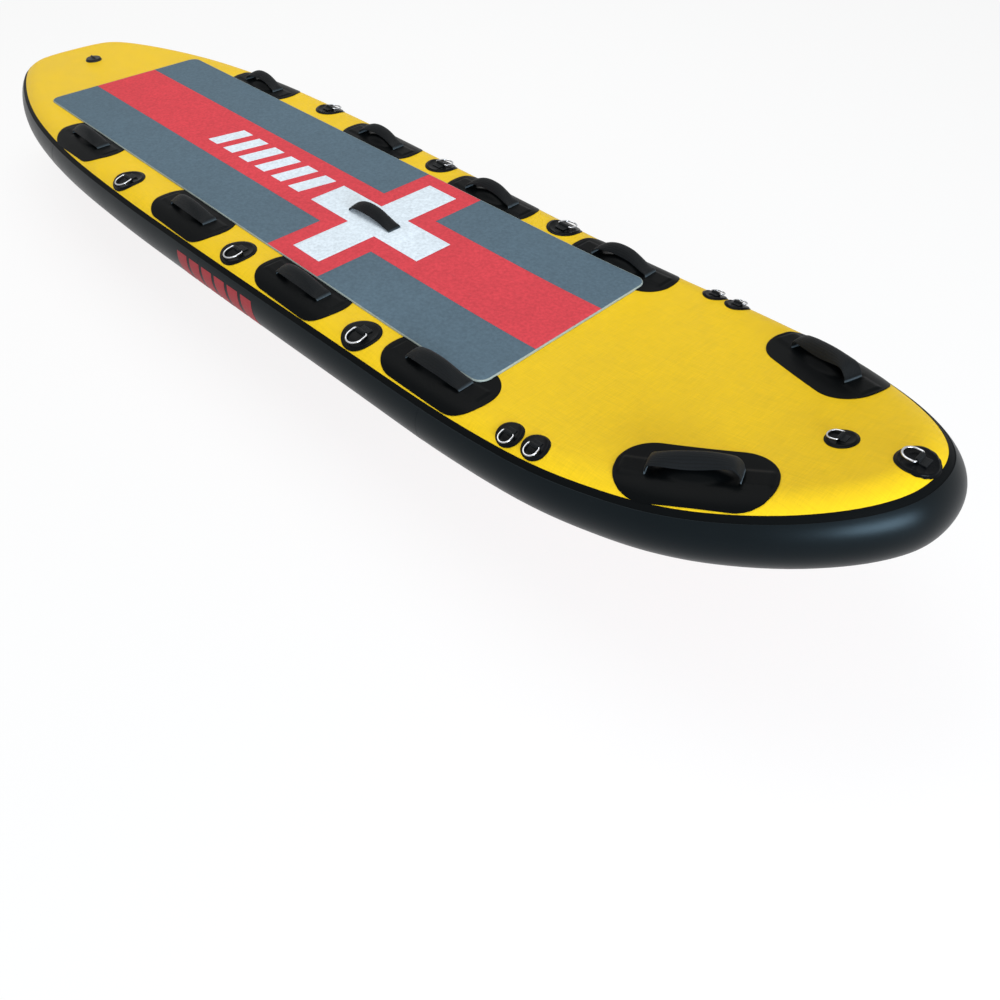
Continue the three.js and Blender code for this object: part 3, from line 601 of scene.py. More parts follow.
def coated_fabric(name, color, roughness, weave=0.0, streaks=0.06, clouds=0.08, grain=0.0,
                  grain_pitch=0.0012, specular=0.4, tint=(1.0, 1.0, 1.0, 1.0)):
    """Coated cloth: the weave shows through the coat, with clouding and fine scuffs."""
    material, w, shader, place = new_finish(name)
    threads = w.group(weave_group, place, Pitch=0.0012)
    pebbles = w.group(grain_group, place, Pitch=grain_pitch)
    cloud = w.group(cloud_group, place, Scale=2.6)["Tone"]
    marks = w.group(scuff_group, place, Amount=0.2)["Mask"]
    shade = w.times(w.ranged(threads["Tone"], 0.35, 0.65, 1.0 - streaks, 1.0 + streaks, clamp=False),
                    w.spread(cloud, 1.0 - clouds, 1.0 + clouds))
    height = w.plus(w.times(threads["Height"], weave), w.times(pebbles["Height"], grain))
    w.fill(shader,
           Base_Color=w.mix(w.times(marks, 0.12), w.shaded(linear(color), shade), linear((150, 155, 158))),
           Roughness=w.plus(w.spread(cloud, roughness - 0.05, roughness + 0.06), w.times(marks, 0.2)),
           Specular_IOR_Level=specular, Specular_Tint=tint, Normal=w.bump(height, 0.0002))
    return material


def soft_foam(name, color):
    """Closed-cell deck foam with a fine embossed grip pattern."""
    material, w, shader, place = new_finish(name)
    pebbles = w.group(grain_group, place, Pitch=0.0035)
    cloud = w.group(cloud_group, place, Scale=3.5)["Tone"]
    marks = w.group(scuff_group, place, Amount=0.6)["Mask"]
    speck = w.ranged(w.noise(place, 340.0), 0.62, 0.72)
    shade = w.math("SUBTRACT", w.times(w.spread(pebbles["Tone"], 0.88, 1.12), w.spread(cloud, 0.92, 1.07)),
                   w.times(speck, 0.07))
    w.fill(shader,
           Base_Color=w.mix(w.times(marks, 0.25), w.shaded(linear(color), shade), linear((200, 205, 208))),
           Roughness=w.spread(cloud, 0.8, 0.9), Specular_IOR_Level=0.2,
           Normal=w.bump(pebbles["Height"], 0.0006, 0.8))
    return material


def ribbed_webbing(name, color):
    """Woven tape: ribs along its length and small crossing stitches, on the piece's own UV map. Its feet carry a
    painted highlight: where the fold_highlight attribute marks them, the colour is drawn towards a pale
    blue-grey."""
    material, w, shader, _ = new_finish(name)
    uv = w.node("UVMap", uv_map="UVMap").outputs[0]
    along, across, _ = w.split(uv)
    crossing = w.plus(w.times(along, math.pi / 0.0014), w.times(across, math.pi / 0.0024))
    ribs, picks = (w.math("ABSOLUTE", w.math("SINE", turns))
                   for turns in (w.times(across, math.pi / 0.0032), crossing))
    fuzz = w.noise(w.scaled(uv, (900, 300, 1)), 1.0, 3.0)
    height = w.plus(w.times(ribs, 0.7), w.times(picks, 0.3))
    # Painted shade and highlight: the colour follows the rib and stitch height, darker in the grooves and paler
    # on the crests.
    shade = w.times(w.ranged(height, 0.0, 1.0, 0.5, 1.45), w.spread(fuzz, 0.85, 1.2))
    # Painted highlight: the marked feet are tinted pale blue-grey, as if lit where the tape bends down to the
    # patch.
    fold_highlight = w.node("Attribute", attribute_name="fold_highlight").outputs["Fac"]
    tone = w.mix(w.times(fold_highlight, 0.9), linear(color), linear((74, 84, 90)))
    w.fill(shader, Base_Color=w.shaded(tone, shade), Roughness=w.spread(fuzz, 0.5, 0.66),
           Specular_IOR_Level=0.12, Sheen_Weight=0.04, Sheen_Roughness=0.4, Normal=w.bump(height, 0.0005, 0.9))
    return material


def bright_metal(name, color, roughness):
    """Polished or brushed metal with hairline scratches and fingermarks."""
    material, w, shader, place = new_finish(name)
    cloud = w.group(cloud_group, place, Scale=60.0)["Tone"]
    marks = w.group(scuff_group, w.scaled(place, (6, 6, 6)), Amount=0.8)["Mask"]
    scratched = (*(0.6 * c for c in color), 1.0)
    w.fill(shader, Base_Color=w.mix(w.times(marks, 0.4), (*color, 1.0), scratched), Metallic=1.0,
           Roughness=w.plus(w.spread(cloud, roughness, roughness + 0.1), w.times(marks, 0.2)))
    return material


def moulded_plastic(name, color, roughness, specular=0.4):
    """Moulded plastic with a light spark-eroded grain and rubbed spots."""
    material, w, shader, place = new_finish(name)
    pebbles = w.group(grain_group, place, Pitch=0.0009)
    cloud = w.group(cloud_group, place, Scale=8.0)["Tone"]
    marks = w.group(scuff_group, w.scaled(place, (2, 2, 2)), Amount=0.5)["Mask"]
    tinted = w.shaded(linear(color), w.spread(cloud, 0.88, 1.14))
    w.fill(shader, Base_Color=w.mix(w.times(marks, 0.2), tinted, linear((120, 122, 124))),
           Roughness=w.plus(w.spread(cloud, roughness - 0.06, roughness + 0.06), w.times(marks, 0.15)),
           Specular_IOR_Level=specular, Normal=w.bump(pebbles["Height"], 0.00012, 0.7))
    return material


deck_yellow = coated_fabric(
    "deck_yellow", (238, 197, 16), 0.5, weave=0.9, streaks=0.07, clouds=0.05, specular=0.2)
bottom_red = coated_fabric("bottom_red", (184, 40, 48), 0.34, weave=0.25, streaks=0.015, clouds=0.05)
rail_black = coated_fabric("rail_black", (5, 6, 7), 0.35, grain=0.25, streaks=0.02, clouds=0.1,
                           specular=0.17, tint=(0.6, 0.85, 1.0, 1.0))
seam_black = coated_fabric(
    "seam_black", (7, 9, 10), 0.55, grain=0.5, streaks=0.02, clouds=0.1, specular=0.04)
patch_black = coated_fabric("patch_black", (8, 10, 11), 0.36, grain=0.5, grain_pitch=0.0016,
                            streaks=0.05, clouds=0.12, specular=0.03)
ring_patch_black = coated_fabric(
    "ring_patch_black", (8, 10, 12), 0.26, grain=0.2, streaks=0.03, clouds=0.12, specular=0.05)
mark_white = coated_fabric("mark_white", (236, 238, 236), 0.45, weave=0.2, streaks=0.01, clouds=0.03)
mark_red = coated_fabric("mark_red", (158, 50, 56), 0.5, weave=0.3, streaks=0.1, clouds=0.1, specular=0.2)
foam_grey = soft_foam("foam_grey", (86, 106, 119))
foam_red = soft_foam("foam_red", (212, 68, 77))
foam_white = soft_foam("foam_white", (222, 233, 241))
# Painted highlight: the pad's bevelled rim is pale grey all round, standing in for the light that falls on it.
foam_edge_highlight = soft_foam("foam_edge_highlight", (158, 168, 162))
webbing_black = ribbed_webbing("webbing_black", (9, 12, 14))
ring_steel = bright_metal("ring_steel", (0.44, 0.45, 0.47), 0.1)
screw_steel = bright_metal("screw_steel", (0.66, 0.67, 0.68), 0.3)
fin_black = moulded_plastic("fin_black", (12, 13, 14), 0.42, specular=0.25)
box_black = moulded_plastic("box_black", (15, 17, 18), 0.5, specular=0.2)
valve_black = moulded_plastic("valve_black", (26, 29, 32), 0.45, specular=0.25)
valve_red = moulded_plastic("valve_red", (178, 52, 44), 0.4)
core_cloth = coated_fabric("core_cloth", (214, 214, 206), 0.8, weave=1.0)


# Hull pieces

def cut_valve_hole(bm):
    """Cuts the hole under the valve's flange into the deck skin."""
    middle = Vector((VALVE_X, 0, DECK))
    reach = 0.09
    for turn in np.linspace(0, 2 * math.pi, 16, endpoint=False):
        way = Vector((math.cos(turn), math.sin(turn), 0))
        near = [f for f in bm.faces if (f.calc_center_median() - middle).length < reach]
        rims = dict.fromkeys(part for f in near for part in (*f.edges, *f.verts))
        bmesh.ops.bisect_plane(bm, geom=near + list(rims), dist=0.01 * MM,
                               plane_co=middle + way * VALVE_HOLE, plane_no=way)
    gone = [f for f in bm.faces if (f.calc_center_median() - middle).length < VALVE_HOLE]
    bmesh.ops.delete(bm, geom=gone, context="FACES")


def build_hull():
    port = np.arange(STATIONS // 2 + 1)
    starboard = (-port) % STATIONS
    for side, material, slot, node in ((1, deck_yellow, "yellow_deck", "deck_skin"),
                                       (-1, bottom_red, "red_bottom", "bottom_skin")):
        loops = [rail_loop(RAIL_RADIUS, angle if side > 0 else 180 - angle)
                 for angle in np.linspace(SKIN_EDGE_ANGLE, 0, 11)]
        columns = [loop[port] for loop in loops]
        columns += [loops[-1][port] * (1 - t) + loops[-1][starboard] * t for t in np.linspace(0, 1, 13)[1:-1]]
        columns += [loop[starboard] for loop in reversed(loops)]
        bm = lofted(np.stack(columns, axis=1))
        if side > 0:
            cut_valve_hole(bm)
        shell(bm, 2, side, SKIN)
        add_piece(f"{node}_sheet", bm, material, node, sharp=50)
    for name, material, node, low, high, lift, depth in (
        ("rail_band_inner", seam_black, "rail_band", SEAM_ANGLE, LOWER_SEAM_ANGLE, 0.6 * MM, 1.0 * MM),
        ("rail_band_outer", rail_black, None, RAIL_TOP_ANGLE, LOWER_SEAM_ANGLE - 1.5, 1.9 * MM, -0.5 * MM),
    ):
        steps = np.linspace(low, high, 25)
        lip, rim = math.degrees(0.5 * MM / RAIL_RADIUS), lift - 0.6 * MM
        section = [(low - lip, rim)] + [(a, lift) for a in steps] + [(high + lip, rim)]
        section += [(a, -depth) for a in steps[::-1]]
        bm = lofted([rail_loop(RAIL_RADIUS + r, a) for a, r in section], close_rows=True, close_columns=True)
        add_piece(name, bm, material, node, sharp=50)
    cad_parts["drop_stitch_core"].data.materials[0] = core_cloth


def rail_strip(name, x, side, reach, low, high, lift, material, slant=0.0, steps=9):
    """A thin strip on the rail, as far as its reach from a place along the board and between two angles."""
    index = np.arange(1, STATIONS // 2) * side % STATIONS
    index = index[np.argsort(rail_centre[index, 0])]
    pick = lambda values, x: np.array(
        [np.interp(x, rail_centre[index, 0], values[index, k]) for k in range(3)])
    rows = []
    for angle in np.linspace(low, high, steps):
        shift = slant * ((angle - low) / (high - low) - 0.5)
        turn = math.radians(angle)
        row = []
        for at in np.linspace(x - reach, x + reach, 7) + shift:
            way = pick(rail_out, at) * math.sin(turn) + pick(rail_top, at) * math.cos(turn)
            row.append(pick(rail_centre, at) + way / np.linalg.norm(way) * (RAIL_RADIUS + lift))
        rows.append(row)
    bm = lofted(rows)
    shell(bm, 1, side, 0.5 * MM)
    add_piece(name, bm, material, sharp=40)


def build_rail_details():
    for side, word in SIDES:
        for k, x in enumerate(LAP_PLACES):
            rail_strip(f"rail_lap_{word}_{k + 1}", x, side, reach=0.014, low=RAIL_TOP_ANGLE + 1,
                       high=LOWER_SEAM_ANGLE - 2, lift=2.15 * MM, material=rail_black,
                       steps=25)
        for k in range(MARK_COUNT):
            rail_strip(f"rail_bar_{word}_{k + 1}", RAIL_BAR_X - RAIL_BAR_PITCH * k, side, reach=0.023,
                       low=70, high=121, lift=2.4 * MM, material=mark_red, slant=0.02)


# Deck pad

def pad_lines():
    """The lines across and along the pad on which its grids are cut."""
    x_marks = [CROSS_X + sign * half for sign in (-1, 1) for half in (CROSS_HALF, BAND_HALF, CROSS_ARM)]
    y_marks = [0.0, CROSS_ARM, STRIPE_HALF, CROSS_HALF, PAD_HALF_WIDTH - PAD_EDGE]
    return (sorted(x_marks + [PAD_REAR + PAD_EDGE, PAD_FRONT - PAD_EDGE]),
            sorted({-v for v in y_marks} | set(y_marks)))


def fine_lines(marks, step):
    """The marks with evenly spaced lines between them, no further apart than step."""
    lines = [marks[0]]
    for low, high in zip(marks, marks[1:]):
        count = max(1, math.ceil((high - low) / step - 1e-6))
        lines += list(np.linspace(low, high, count + 1)[1:])
    return lines


def in_stripes(x, y):
    return abs(y) < STRIPE_HALF or abs(x - CROSS_X) < BAND_HALF


def in_cross(x, y):
    x -= CROSS_X
    return (abs(x) < CROSS_HALF and abs(y) < CROSS_ARM) or (abs(y) < CROSS_HALF and abs(x) < CROSS_ARM)


def round_corners(bm, x_low, x_high, y_half, radius):
    """Pulls the outer corners of a gridded slab in to quarter circles."""
    for vert in bm.verts:
        for end, sign in ((x_low, -1), (x_high, 1)):
            dx, dy = (vert.co.x - end) * sign + radius, abs(vert.co.y) - y_half + radius
            if dx > 0 and dy > 0:
                pull = max(dx, dy) / math.hypot(dx, dy)
                vert.co.x = end - sign * radius + sign * dx * pull
                vert.co.y = math.copysign(y_half - radius + dy * pull, vert.co.y)


def smooth_box(value, half, soft):
    """1 inside plus or minus half, falling to 0 over the soft distance outside it."""
    t = np.clip((abs(value) - half) / soft, 0, 1)
    return 1 - t * t * (3 - 2 * t)


def pad_relief(x, y):
    """The pad is pushed up over the ends of the centre handle's webbing."""
    over_end = smooth_box(abs(x - CENTRE_HANDLE_X) - 0.108, 0.022, 0.005)
    return 1.6 * MM * over_end * smooth_box(y, 0.022, 0.005)


def build_pad():
    xs, ys = (fine_lines(marks, PAD_STEP) for marks in pad_lines())
    for color, keep, material, node in (
        ("grey", lambda x, y: not in_stripes(x, y), foam_grey, "pad_grey_sheet"),
        ("red", lambda x, y: in_stripes(x, y) and not in_cross(x, y), foam_red, "pad_red_panel"),
        ("white", in_cross, foam_white, "pad_white_cross"),
    ):
        bm = flat_sheet(xs, ys, keep)
        if color == "grey":
            round_corners(bm, xs[0], xs[-1], PAD_HALF_WIDTH - PAD_EDGE, PAD_CORNER - PAD_EDGE)
        thicken(bm, PAD_THICKNESS, 0.6 * MM)
        for vert in bm.verts:
            if vert.co.z > PAD_THICKNESS / 2:
                vert.co.z += pad_relief(vert.co.x, vert.co.y)
        lay_mesh(bm)
        piece = add_piece(f"pad_{color}_foam", bm, material, node, sharp=35)
    piece = add_piece("pad_cut_edge", pad_edge(), foam_edge_highlight, sharp=50)


def pad_edge():
    """The bevelled cut round the pad's rim, coloured pale grey as a painted highlight."""
    profile = [(0, 0), (0, 0.55), (0.1, 0.72), (0.55, 0.94), (0.8, 1.0), (0.97, 0.97), (0.97, 0)]
    middle, half = (PAD_FRONT + PAD_REAR) / 2, (PAD_FRONT - PAD_REAR) / 2
    in_corner = 9
    turns = np.radians(np.concatenate([np.linspace(a, a + 90, in_corner) for a in (0, 90, 180, 270)]))
    signs = np.repeat([(1, 1), (-1, 1), (-1, -1), (1, -1)], in_corner, axis=0)
    centres = signs * (half - PAD_CORNER, PAD_HALF_WIDTH - PAD_CORNER) + (middle, 0)
    stops = np.concatenate([np.linspace(k, k + 1, 60 if k % in_corner == in_corner - 1 else 1, endpoint=False)
                            for k in range(len(turns))])
    rows = []
    for inset, height in profile:
        loop = centres + (PAD_CORNER - inset * PAD_EDGE) * np.column_stack([np.cos(turns), np.sin(turns)])
        loop = np.concatenate([loop, loop[:1]])
        flat = [np.interp(stops, np.arange(len(loop)), loop[:, k]) for k in (0, 1)]
        rows.append(lay(np.column_stack(flat + [np.full(len(stops), height * PAD_THICKNESS + GLUE)])))
    return lofted(rows, close_rows=True, close_columns=True)


def slanted_bar(length, width, slant):
    """A plain slanted bar, its width along X and its length along Y."""
    bm = flat_sheet(np.linspace(-width / 2, width / 2, 4),
                    np.linspace(-length / 2, length / 2, round(length / 0.02) + 1))
    for vert in bm.verts:
        vert.co.x += slant * vert.co.y / length
    return bm


def add_mark(name, bm, x, thickness, lift, side, material):
    thicken(bm, thickness, 0.1 * MM, 1)
    lay_mesh(bm, x, lift=lift, side=side)
    add_piece(name, bm, material, sharp=35)


def build_marks():
    """Plain bars where the real board has lettering, and the white cross underneath."""
    for k in range(MARK_COUNT):
        add_mark(f"pad_bar_{k + 1}", slanted_bar(**PAD_BAR), PAD_BAR_X - PAD_BAR_PITCH * k, 0.35 * MM,
                 PAD_THICKNESS + 0.25 * MM, 1, foam_white)
    for k in range(MARK_COUNT):
        add_mark(f"bottom_bar_{k + 1}", slanted_bar(**UNDER_BAR), UNDER_BAR_X + UNDER_BAR_PITCH * k, 0.4 * MM,
                 0.05 * MM, -1, mark_white)
    xs = fine_lines([-CROSS_HALF, -CROSS_ARM, CROSS_ARM, CROSS_HALF], 0.03)
    bm = flat_sheet(xs, xs, lambda x, y: abs(x) < CROSS_ARM or abs(y) < CROSS_ARM)
    add_mark("bottom_cross", bm, UNDER_CROSS_X, 0.4 * MM, 0.05 * MM, -1, mark_white)


# Handles

# The handles' arches seen from the side, as shares of half the span and of the height
SIDE_ARCH = [
    (-1.0, -0.3), (-1.0, 0.08), (-0.985, 0.22), (-0.9, 0.44), (-0.72, 0.7), (-0.42, 0.93), (-0.1, 1.0),
    (0.25, 0.93), (0.55, 0.71), (0.8, 0.44), (0.93, 0.3), (0.985, 0.21), (1.0, 0.08), (1.0, -0.3)]
NOSE_ARCH = [
    (-1.0, -0.3), (-0.995, 0.05), (-0.975, 0.32), (-0.85, 0.66), (-0.5, 0.88), (0.0, 0.99),
    (0.45, 1.0), (0.8, 0.87), (0.96, 0.5), (0.995, 0.1), (1.0, -0.3)]


def webbing_section(width, thickness, count=14):
    """The rounded flat section of a tape, its width first."""
    half, edge = width / 2, thickness / 2
    top = [(b, edge * (1 - 0.25 * (b / half) ** 8)) for b in np.linspace(-half + edge, half - edge, count)]
    right = [(half - edge + edge * math.cos(t), edge * math.sin(t)) for t in (math.pi / 4, 0, -math.pi / 4)]
    bottom = [(b, -h) for b, h in reversed(top)]
    left = [(-b, -h) for b, h in right]
    return top + right + bottom + left


def build_strap(name, matrix, arch, lean=0.0):
    """A webbing handle that leans to the side by the given angle, its feet flat in their slots."""
    path = smooth_path([(a * HANDLE_SPAN / 2, h * HANDLE_HEIGHT) for a, h in arch], 72)
    path = path[path[:, 1] > -4 * MM]
    line = np.column_stack([path[:, 0], np.zeros(len(path)), path[:, 1]])
    bm = swept(line, webbing_section(WEBBING_WIDTH, WEBBING_THICKNESS), (0, 1, 0))
    fold_highlight = bm.verts.layers.float.new("fold_highlight")
    for vert in bm.verts:
        a, b, h = vert.co
        # Marks the feet, up to about 10.5 mm high, for the webbing finish's painted highlight.
        vert[fold_highlight] = min(1, max(0, (10.5 * MM - h) / (2 * MM)))
        share = a / (HANDLE_SPAN / 2)
        vert.co.y += 1.5 * MM * math.sin(2.2 * share + 0.6) + math.tan(lean) * max(0, h)
        vert.co.z -= 60 * b * b * max(0, 1 - share * share)
        vert.co.z -= math.sin(lean) * b * min(1, max(0, h / HANDLE_HEIGHT))
    add_piece(f"strap_{name}", moved(bm, matrix), webbing_black, f"handle_strap_{name}",
              sharp=60)


def patch_relief(a, b):
    """Height of a handle patch above its flat part: the hump under the webbing, the webbing's ends
    under the cloth and the lips of the slots."""
    dome = np.clip(1 - (a / 0.070) ** 2 - (b / 0.028) ** 2, 0, 1)
    hump = 16 * MM * dome ** 1.2
    skirt = 1.2 * MM * smooth_box(a, 0.060, 0.02) * smooth_box(b, 0.026, 0.014)
    tail = 2.6 * MM * smooth_box(abs(a) - 0.109, 0.021, 0.005) * smooth_box(b, 0.021, 0.005)
    crease = 0.9 * MM * smooth_box(abs(a) - 0.141, 0.0012, 0.004) * smooth_box(b, 0.014, 0.018)
    lip = 1.4 * MM * smooth_box(abs(a) - 0.084, 0.003, 0.003) * smooth_box(b, 0.022, 0.003)
    return hump + skirt + tail + crease + lip


def build_handle(name, x, y, strap_y, degrees, arch, length=PATCH_LENGTH):
    bm = rounded_sheet(length, PATCH_WIDTH, PATCH_CORNER, along=84, in_corner=22, between=4)
    thicken(bm, PATCH_THICKNESS, 0.5 * MM)
    for vert in bm.verts:
        if vert.co.z > PATCH_THICKNESS / 2:
            vert.co.z += float(patch_relief(vert.co.x, vert.co.y - (strap_y - y)))
    lay_mesh(bm, x, y, degrees)
    add_piece(f"patch_{name}", bm, patch_black, f"handle_patch_{name}", sharp=50)
    lean = 0 if degrees else math.radians(HANDLE_LEAN) * math.copysign(1, y)
    build_strap(name, deck_frame(x, strap_y, degrees), arch, lean)


def build_handles():
    for sign, word in SIDES:
        for k, (x, patch_y, strap_y) in enumerate(SIDE_HANDLES):
            build_handle(f"{word}_{k + 1}", x, sign * patch_y, sign * strap_y, 0, SIDE_ARCH)
        build_handle(f"nose_{word}", NOSE_HANDLE_X, sign * NOSE_HANDLE_Y, sign * NOSE_HANDLE_Y,
                     -sign * NOSE_HANDLE_TURN, NOSE_ARCH, NOSE_PATCH_LENGTH)
    build_strap("centre", deck_frame(CENTRE_HANDLE_X, 0, 0), SIDE_ARCH)


# D-rings

def ring_path(size):
    """The centre line of a D, its bar along X and its bow towards Y."""
    half, corner = size["width"] / 2 - size["wire"], size["corner"]
    bow_y = size["depth"] - size["width"] / 2 - size["wire"]
    bend = np.linspace(0, math.pi / 2, 8)
    points = [(x, 0) for x in np.linspace(corner - half, half - corner, 6)]
    points += [(half - corner + corner * math.sin(t), corner - corner * math.cos(t)) for t in bend[1:]]
    points += [(half * math.cos(t), bow_y + half * math.sin(t)) for t in np.linspace(0, math.pi, 32)]
    points += [(corner - half - corner * math.cos(t), corner - corner * math.sin(t)) for t in bend[:-1]]
    return np.array([(x, y, 0) for x, y in points])


def build_ring(name, x, y, degrees, size):
    p, d, wire = size["patch"], size["disc"], size["wire"]
    sheet, disc = PATCH_THICKNESS, DISC_THICKNESS
    profile = [(0, 0), (p, 0), (p, sheet - 0.4 * MM), (p - 0.5 * MM, sheet), (d + 2.2 * MM, sheet),
               (d + 1.0 * MM, sheet + 0.4 * MM)]
    profile += [(d + out * MM, disc + up * MM)
                for out, up in ((0.2, 0.2), (-0.8, 0.9), (-2.0, 1.1), (-3.2, 0.8), (-4.4, 0.1))]
    profile += [(0.6 * d, disc), (0.3 * d, disc), (0, disc)]
    bm = spun(profile, 56)
    lay_mesh(bm, x, y)
    add_piece(f"ring_patch_{name}", bm, ring_patch_black, f"d_ring_patch_{name}", sharp=50)

    at_bar = deck_frame(x, y, degrees) @ Matrix.Translation((0, -size["bar_back"], 0))
    around = wire + RING_CLEARANCE
    bar_height = GLUE + disc + around + TAB_WALL
    hole = around + TAB_WALL / 2
    foot = GLUE + disc + 0.5 * TAB_WALL
    rear = -hole - size["tab_strip"]
    path = [(rear, foot - 0.8 * MM), (rear + 2 * MM, foot), (-hole - 2 * MM, foot + 0.2 * MM),
            (-hole, foot + 1.6 * MM)]
    path += [(-hole * math.cos(t), bar_height + hole * math.sin(t)) for t in np.linspace(0, math.pi, 9)]
    path += [(hole, foot + 1.2 * MM), (hole + 0.6 * MM, foot - 0.9 * MM)]
    line = np.column_stack([np.zeros(40), smooth_path(path, 40)])
    bm = swept(line, webbing_section(size["tab_width"], TAB_WALL, 8), (1, 0, 0))
    add_piece(f"ring_tab_{name}", moved(bm, at_bar), webbing_black, sharp=60)

    section = [(0.88 * wire * math.sin(t), 0.88 * wire * math.cos(t))
               for t in np.linspace(0, 2 * math.pi, 16, endpoint=False)]
    bm = swept(ring_path(size), section, (0, 0, 1), closed=True)
    hang = Matrix.Translation((0, 0, bar_height)) @ Matrix.Rotation(-math.radians(size["droop"]), 4, "X")
    add_piece(f"ring_{name}", moved(bm, at_bar @ hang), ring_steel, f"d_ring_{name}",
              body=f"d_ring_{name}")


def build_rings():
    for sign, word in SIDES:
        turn = 90 - 90 * sign
        for places, size, prefix in ((LARGE_RINGS, LARGE_RING, ""), (SMALL_RINGS, SMALL_RING, "small_")):
            for k, (x, y) in enumerate(places):
                build_ring(f"{prefix}{word}_{k + 1}", x, sign * y, turn, size)
    build_ring("nose_small", NOSE_SMALL_RING_X, 0, 90, SMALL_RING)
    build_ring("nose_large", NOSE_LARGE_RING_X, 0, 90, NOSE_RING)


# Fin box and fin

def build_fin_box():
    length, width, corner = FIN_PATCH
    bm = rounded_sheet(length, width, corner, along=60, in_corner=16, between=3)
    thicken(bm, PATCH_THICKNESS, 0.5 * MM)
    for vert in bm.verts:
        a, b, height = vert.co
        if height > PATCH_THICKNESS / 2:
            skirt = smooth_box(a, HOUSING_LENGTH / 2 - 0.004, 0.014)
            vert.co.z += 4 * MM * float(skirt * smooth_box(b, HOUSING_WIDTH / 2, 0.012))
    lay_mesh(bm, FIN_BOX_X, side=-1)
    add_piece("fin_patch", bm, patch_black, sharp=50)

    height = HOUSING_HEIGHT - 1 * MM
    bm = rounded_sheet(HOUSING_LENGTH, HOUSING_WIDTH, HOUSING_WIDTH / 2 - 1 * MM,
                       along=48, in_corner=10, between=2)
    thicken(bm, height, 3 * MM, 4)
    upside_down = Matrix.Translation((FIN_BOX_X, 0, HOUSING_FACE + height)) @ Matrix.Scale(-1, 4, (0, 0, 1))
    housing = add_piece("fin_box_housing", moved(bm, upside_down), box_black, sharp=40)
    tool = mesh_object("slot_tool", block((SLOT_LENGTH, SLOT_WIDTH, 0.036), (FIN_BOX_X, 0, HOUSING_FACE)))
    cut = housing.modifiers.new("slot", "BOOLEAN")
    cut.operation, cut.solver, cut.object = "DIFFERENCE", "EXACT", tool
    bpy.context.view_layer.update()
    done = bpy.data.meshes.new_from_object(housing.evaluated_get(bpy.context.evaluated_depsgraph_get()))
    housing.modifiers.clear()
    housing.data = done
    bpy.data.objects.remove(tool)
    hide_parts("fin_box")


def build_fin():
    blade_top = HOUSING_FACE - 0.3 * MM
    lead, trail = smooth_path(LEADING_EDGE, 90), smooth_path(TRAILING_EDGE, 90)
    rows = []
    for depth in (*np.linspace(0, 0.85, 22), *(0.85 + 0.15 * np.sin(np.linspace(0, math.pi / 2, 14)[1:]))):
        front = np.interp(depth, lead[:, 1], lead[:, 0])
        chord = (np.interp(depth, trail[:, 1], trail[:, 0]) - front) * FIN_SWEEP
        thick = FIN_THICKNESS / 2 * min(1, chord / 0.04) * math.sqrt(max(0.0, 1 - (depth * 0.985) ** 6))
        row = []
        for t in np.linspace(0, 2 * math.pi, 40, endpoint=False):
            along = (1 - math.cos(t)) / 2
            foil = math.sin(t) * (1 - 0.35 * along)
            x = FIN_ROOT_X - (front * FIN_SWEEP + along * chord)
            row.append((x, thick * foil, blade_top * (1 - depth)))
        rows.append(row)
    bm = lofted(rows, close_columns=True)
    close_ends(bm)
    add_piece("fin_blade", bm, fin_black, body="fin", sharp=50)

    for name, node, front, length, foot, height in (
        ("fin_foot", "fin", FIN_ROOT_X, FOOT_LENGTH - FIN_TAB, HOUSING_FACE - 3 * MM, 18 * MM),
        ("fin_tab", None, FIN_ROOT_X + FIN_TAB, FIN_TAB + 2 * MM, blade_top, 5 * MM),
    ):
        bm = block((length, SLOT_WIDTH - 0.8 * MM, height), (front - length / 2, 0, foot + height / 2), 0.8 * MM)
        add_piece(name, bm, fin_black, node, body="fin", sharp=40)
    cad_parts["fin_nut_plate"].data.materials[0] = screw_steel

    low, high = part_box("fin_screw")
    reach = (high[2] - low[2]) / MM
    profile = [(0, 1.3), (1.2, 1.3), (1.45, 0.2), (1.7, 0), (2.6, 0), (2.95, 0.4), (2.95, 2.6), (2.7, 2.95),
               (2.0, 2.95), (2.0, reach - 0.4), (1.6, reach), (0, reach)]
    bm = turned(profile, (low[0] + high[0]) / 2, low[2], 36)
    add_piece("screw", bm, screw_steel, "fin_screw", body="fin_screw", sharp=40)


# Valve

def turned(profile, x, z, steps, ridges=math.inf):
    """A turned piece from radius and height in millimetres. Ridges are cut where it is wider than given."""
    bm = spun([(r * MM, h * MM) for r, h in profile], steps)
    for vert in bm.verts:
        if math.hypot(vert.co.x, vert.co.y) > ridges * MM:
            turn = round(math.atan2(vert.co.y, vert.co.x) / (2 * math.pi) * steps)
            if turn % 4 in (0, 1):
                vert.co.x *= 0.97
                vert.co.y *= 0.97
    bmesh.ops.translate(bm, vec=(x, 0, z), verts=bm.verts)
    return bm


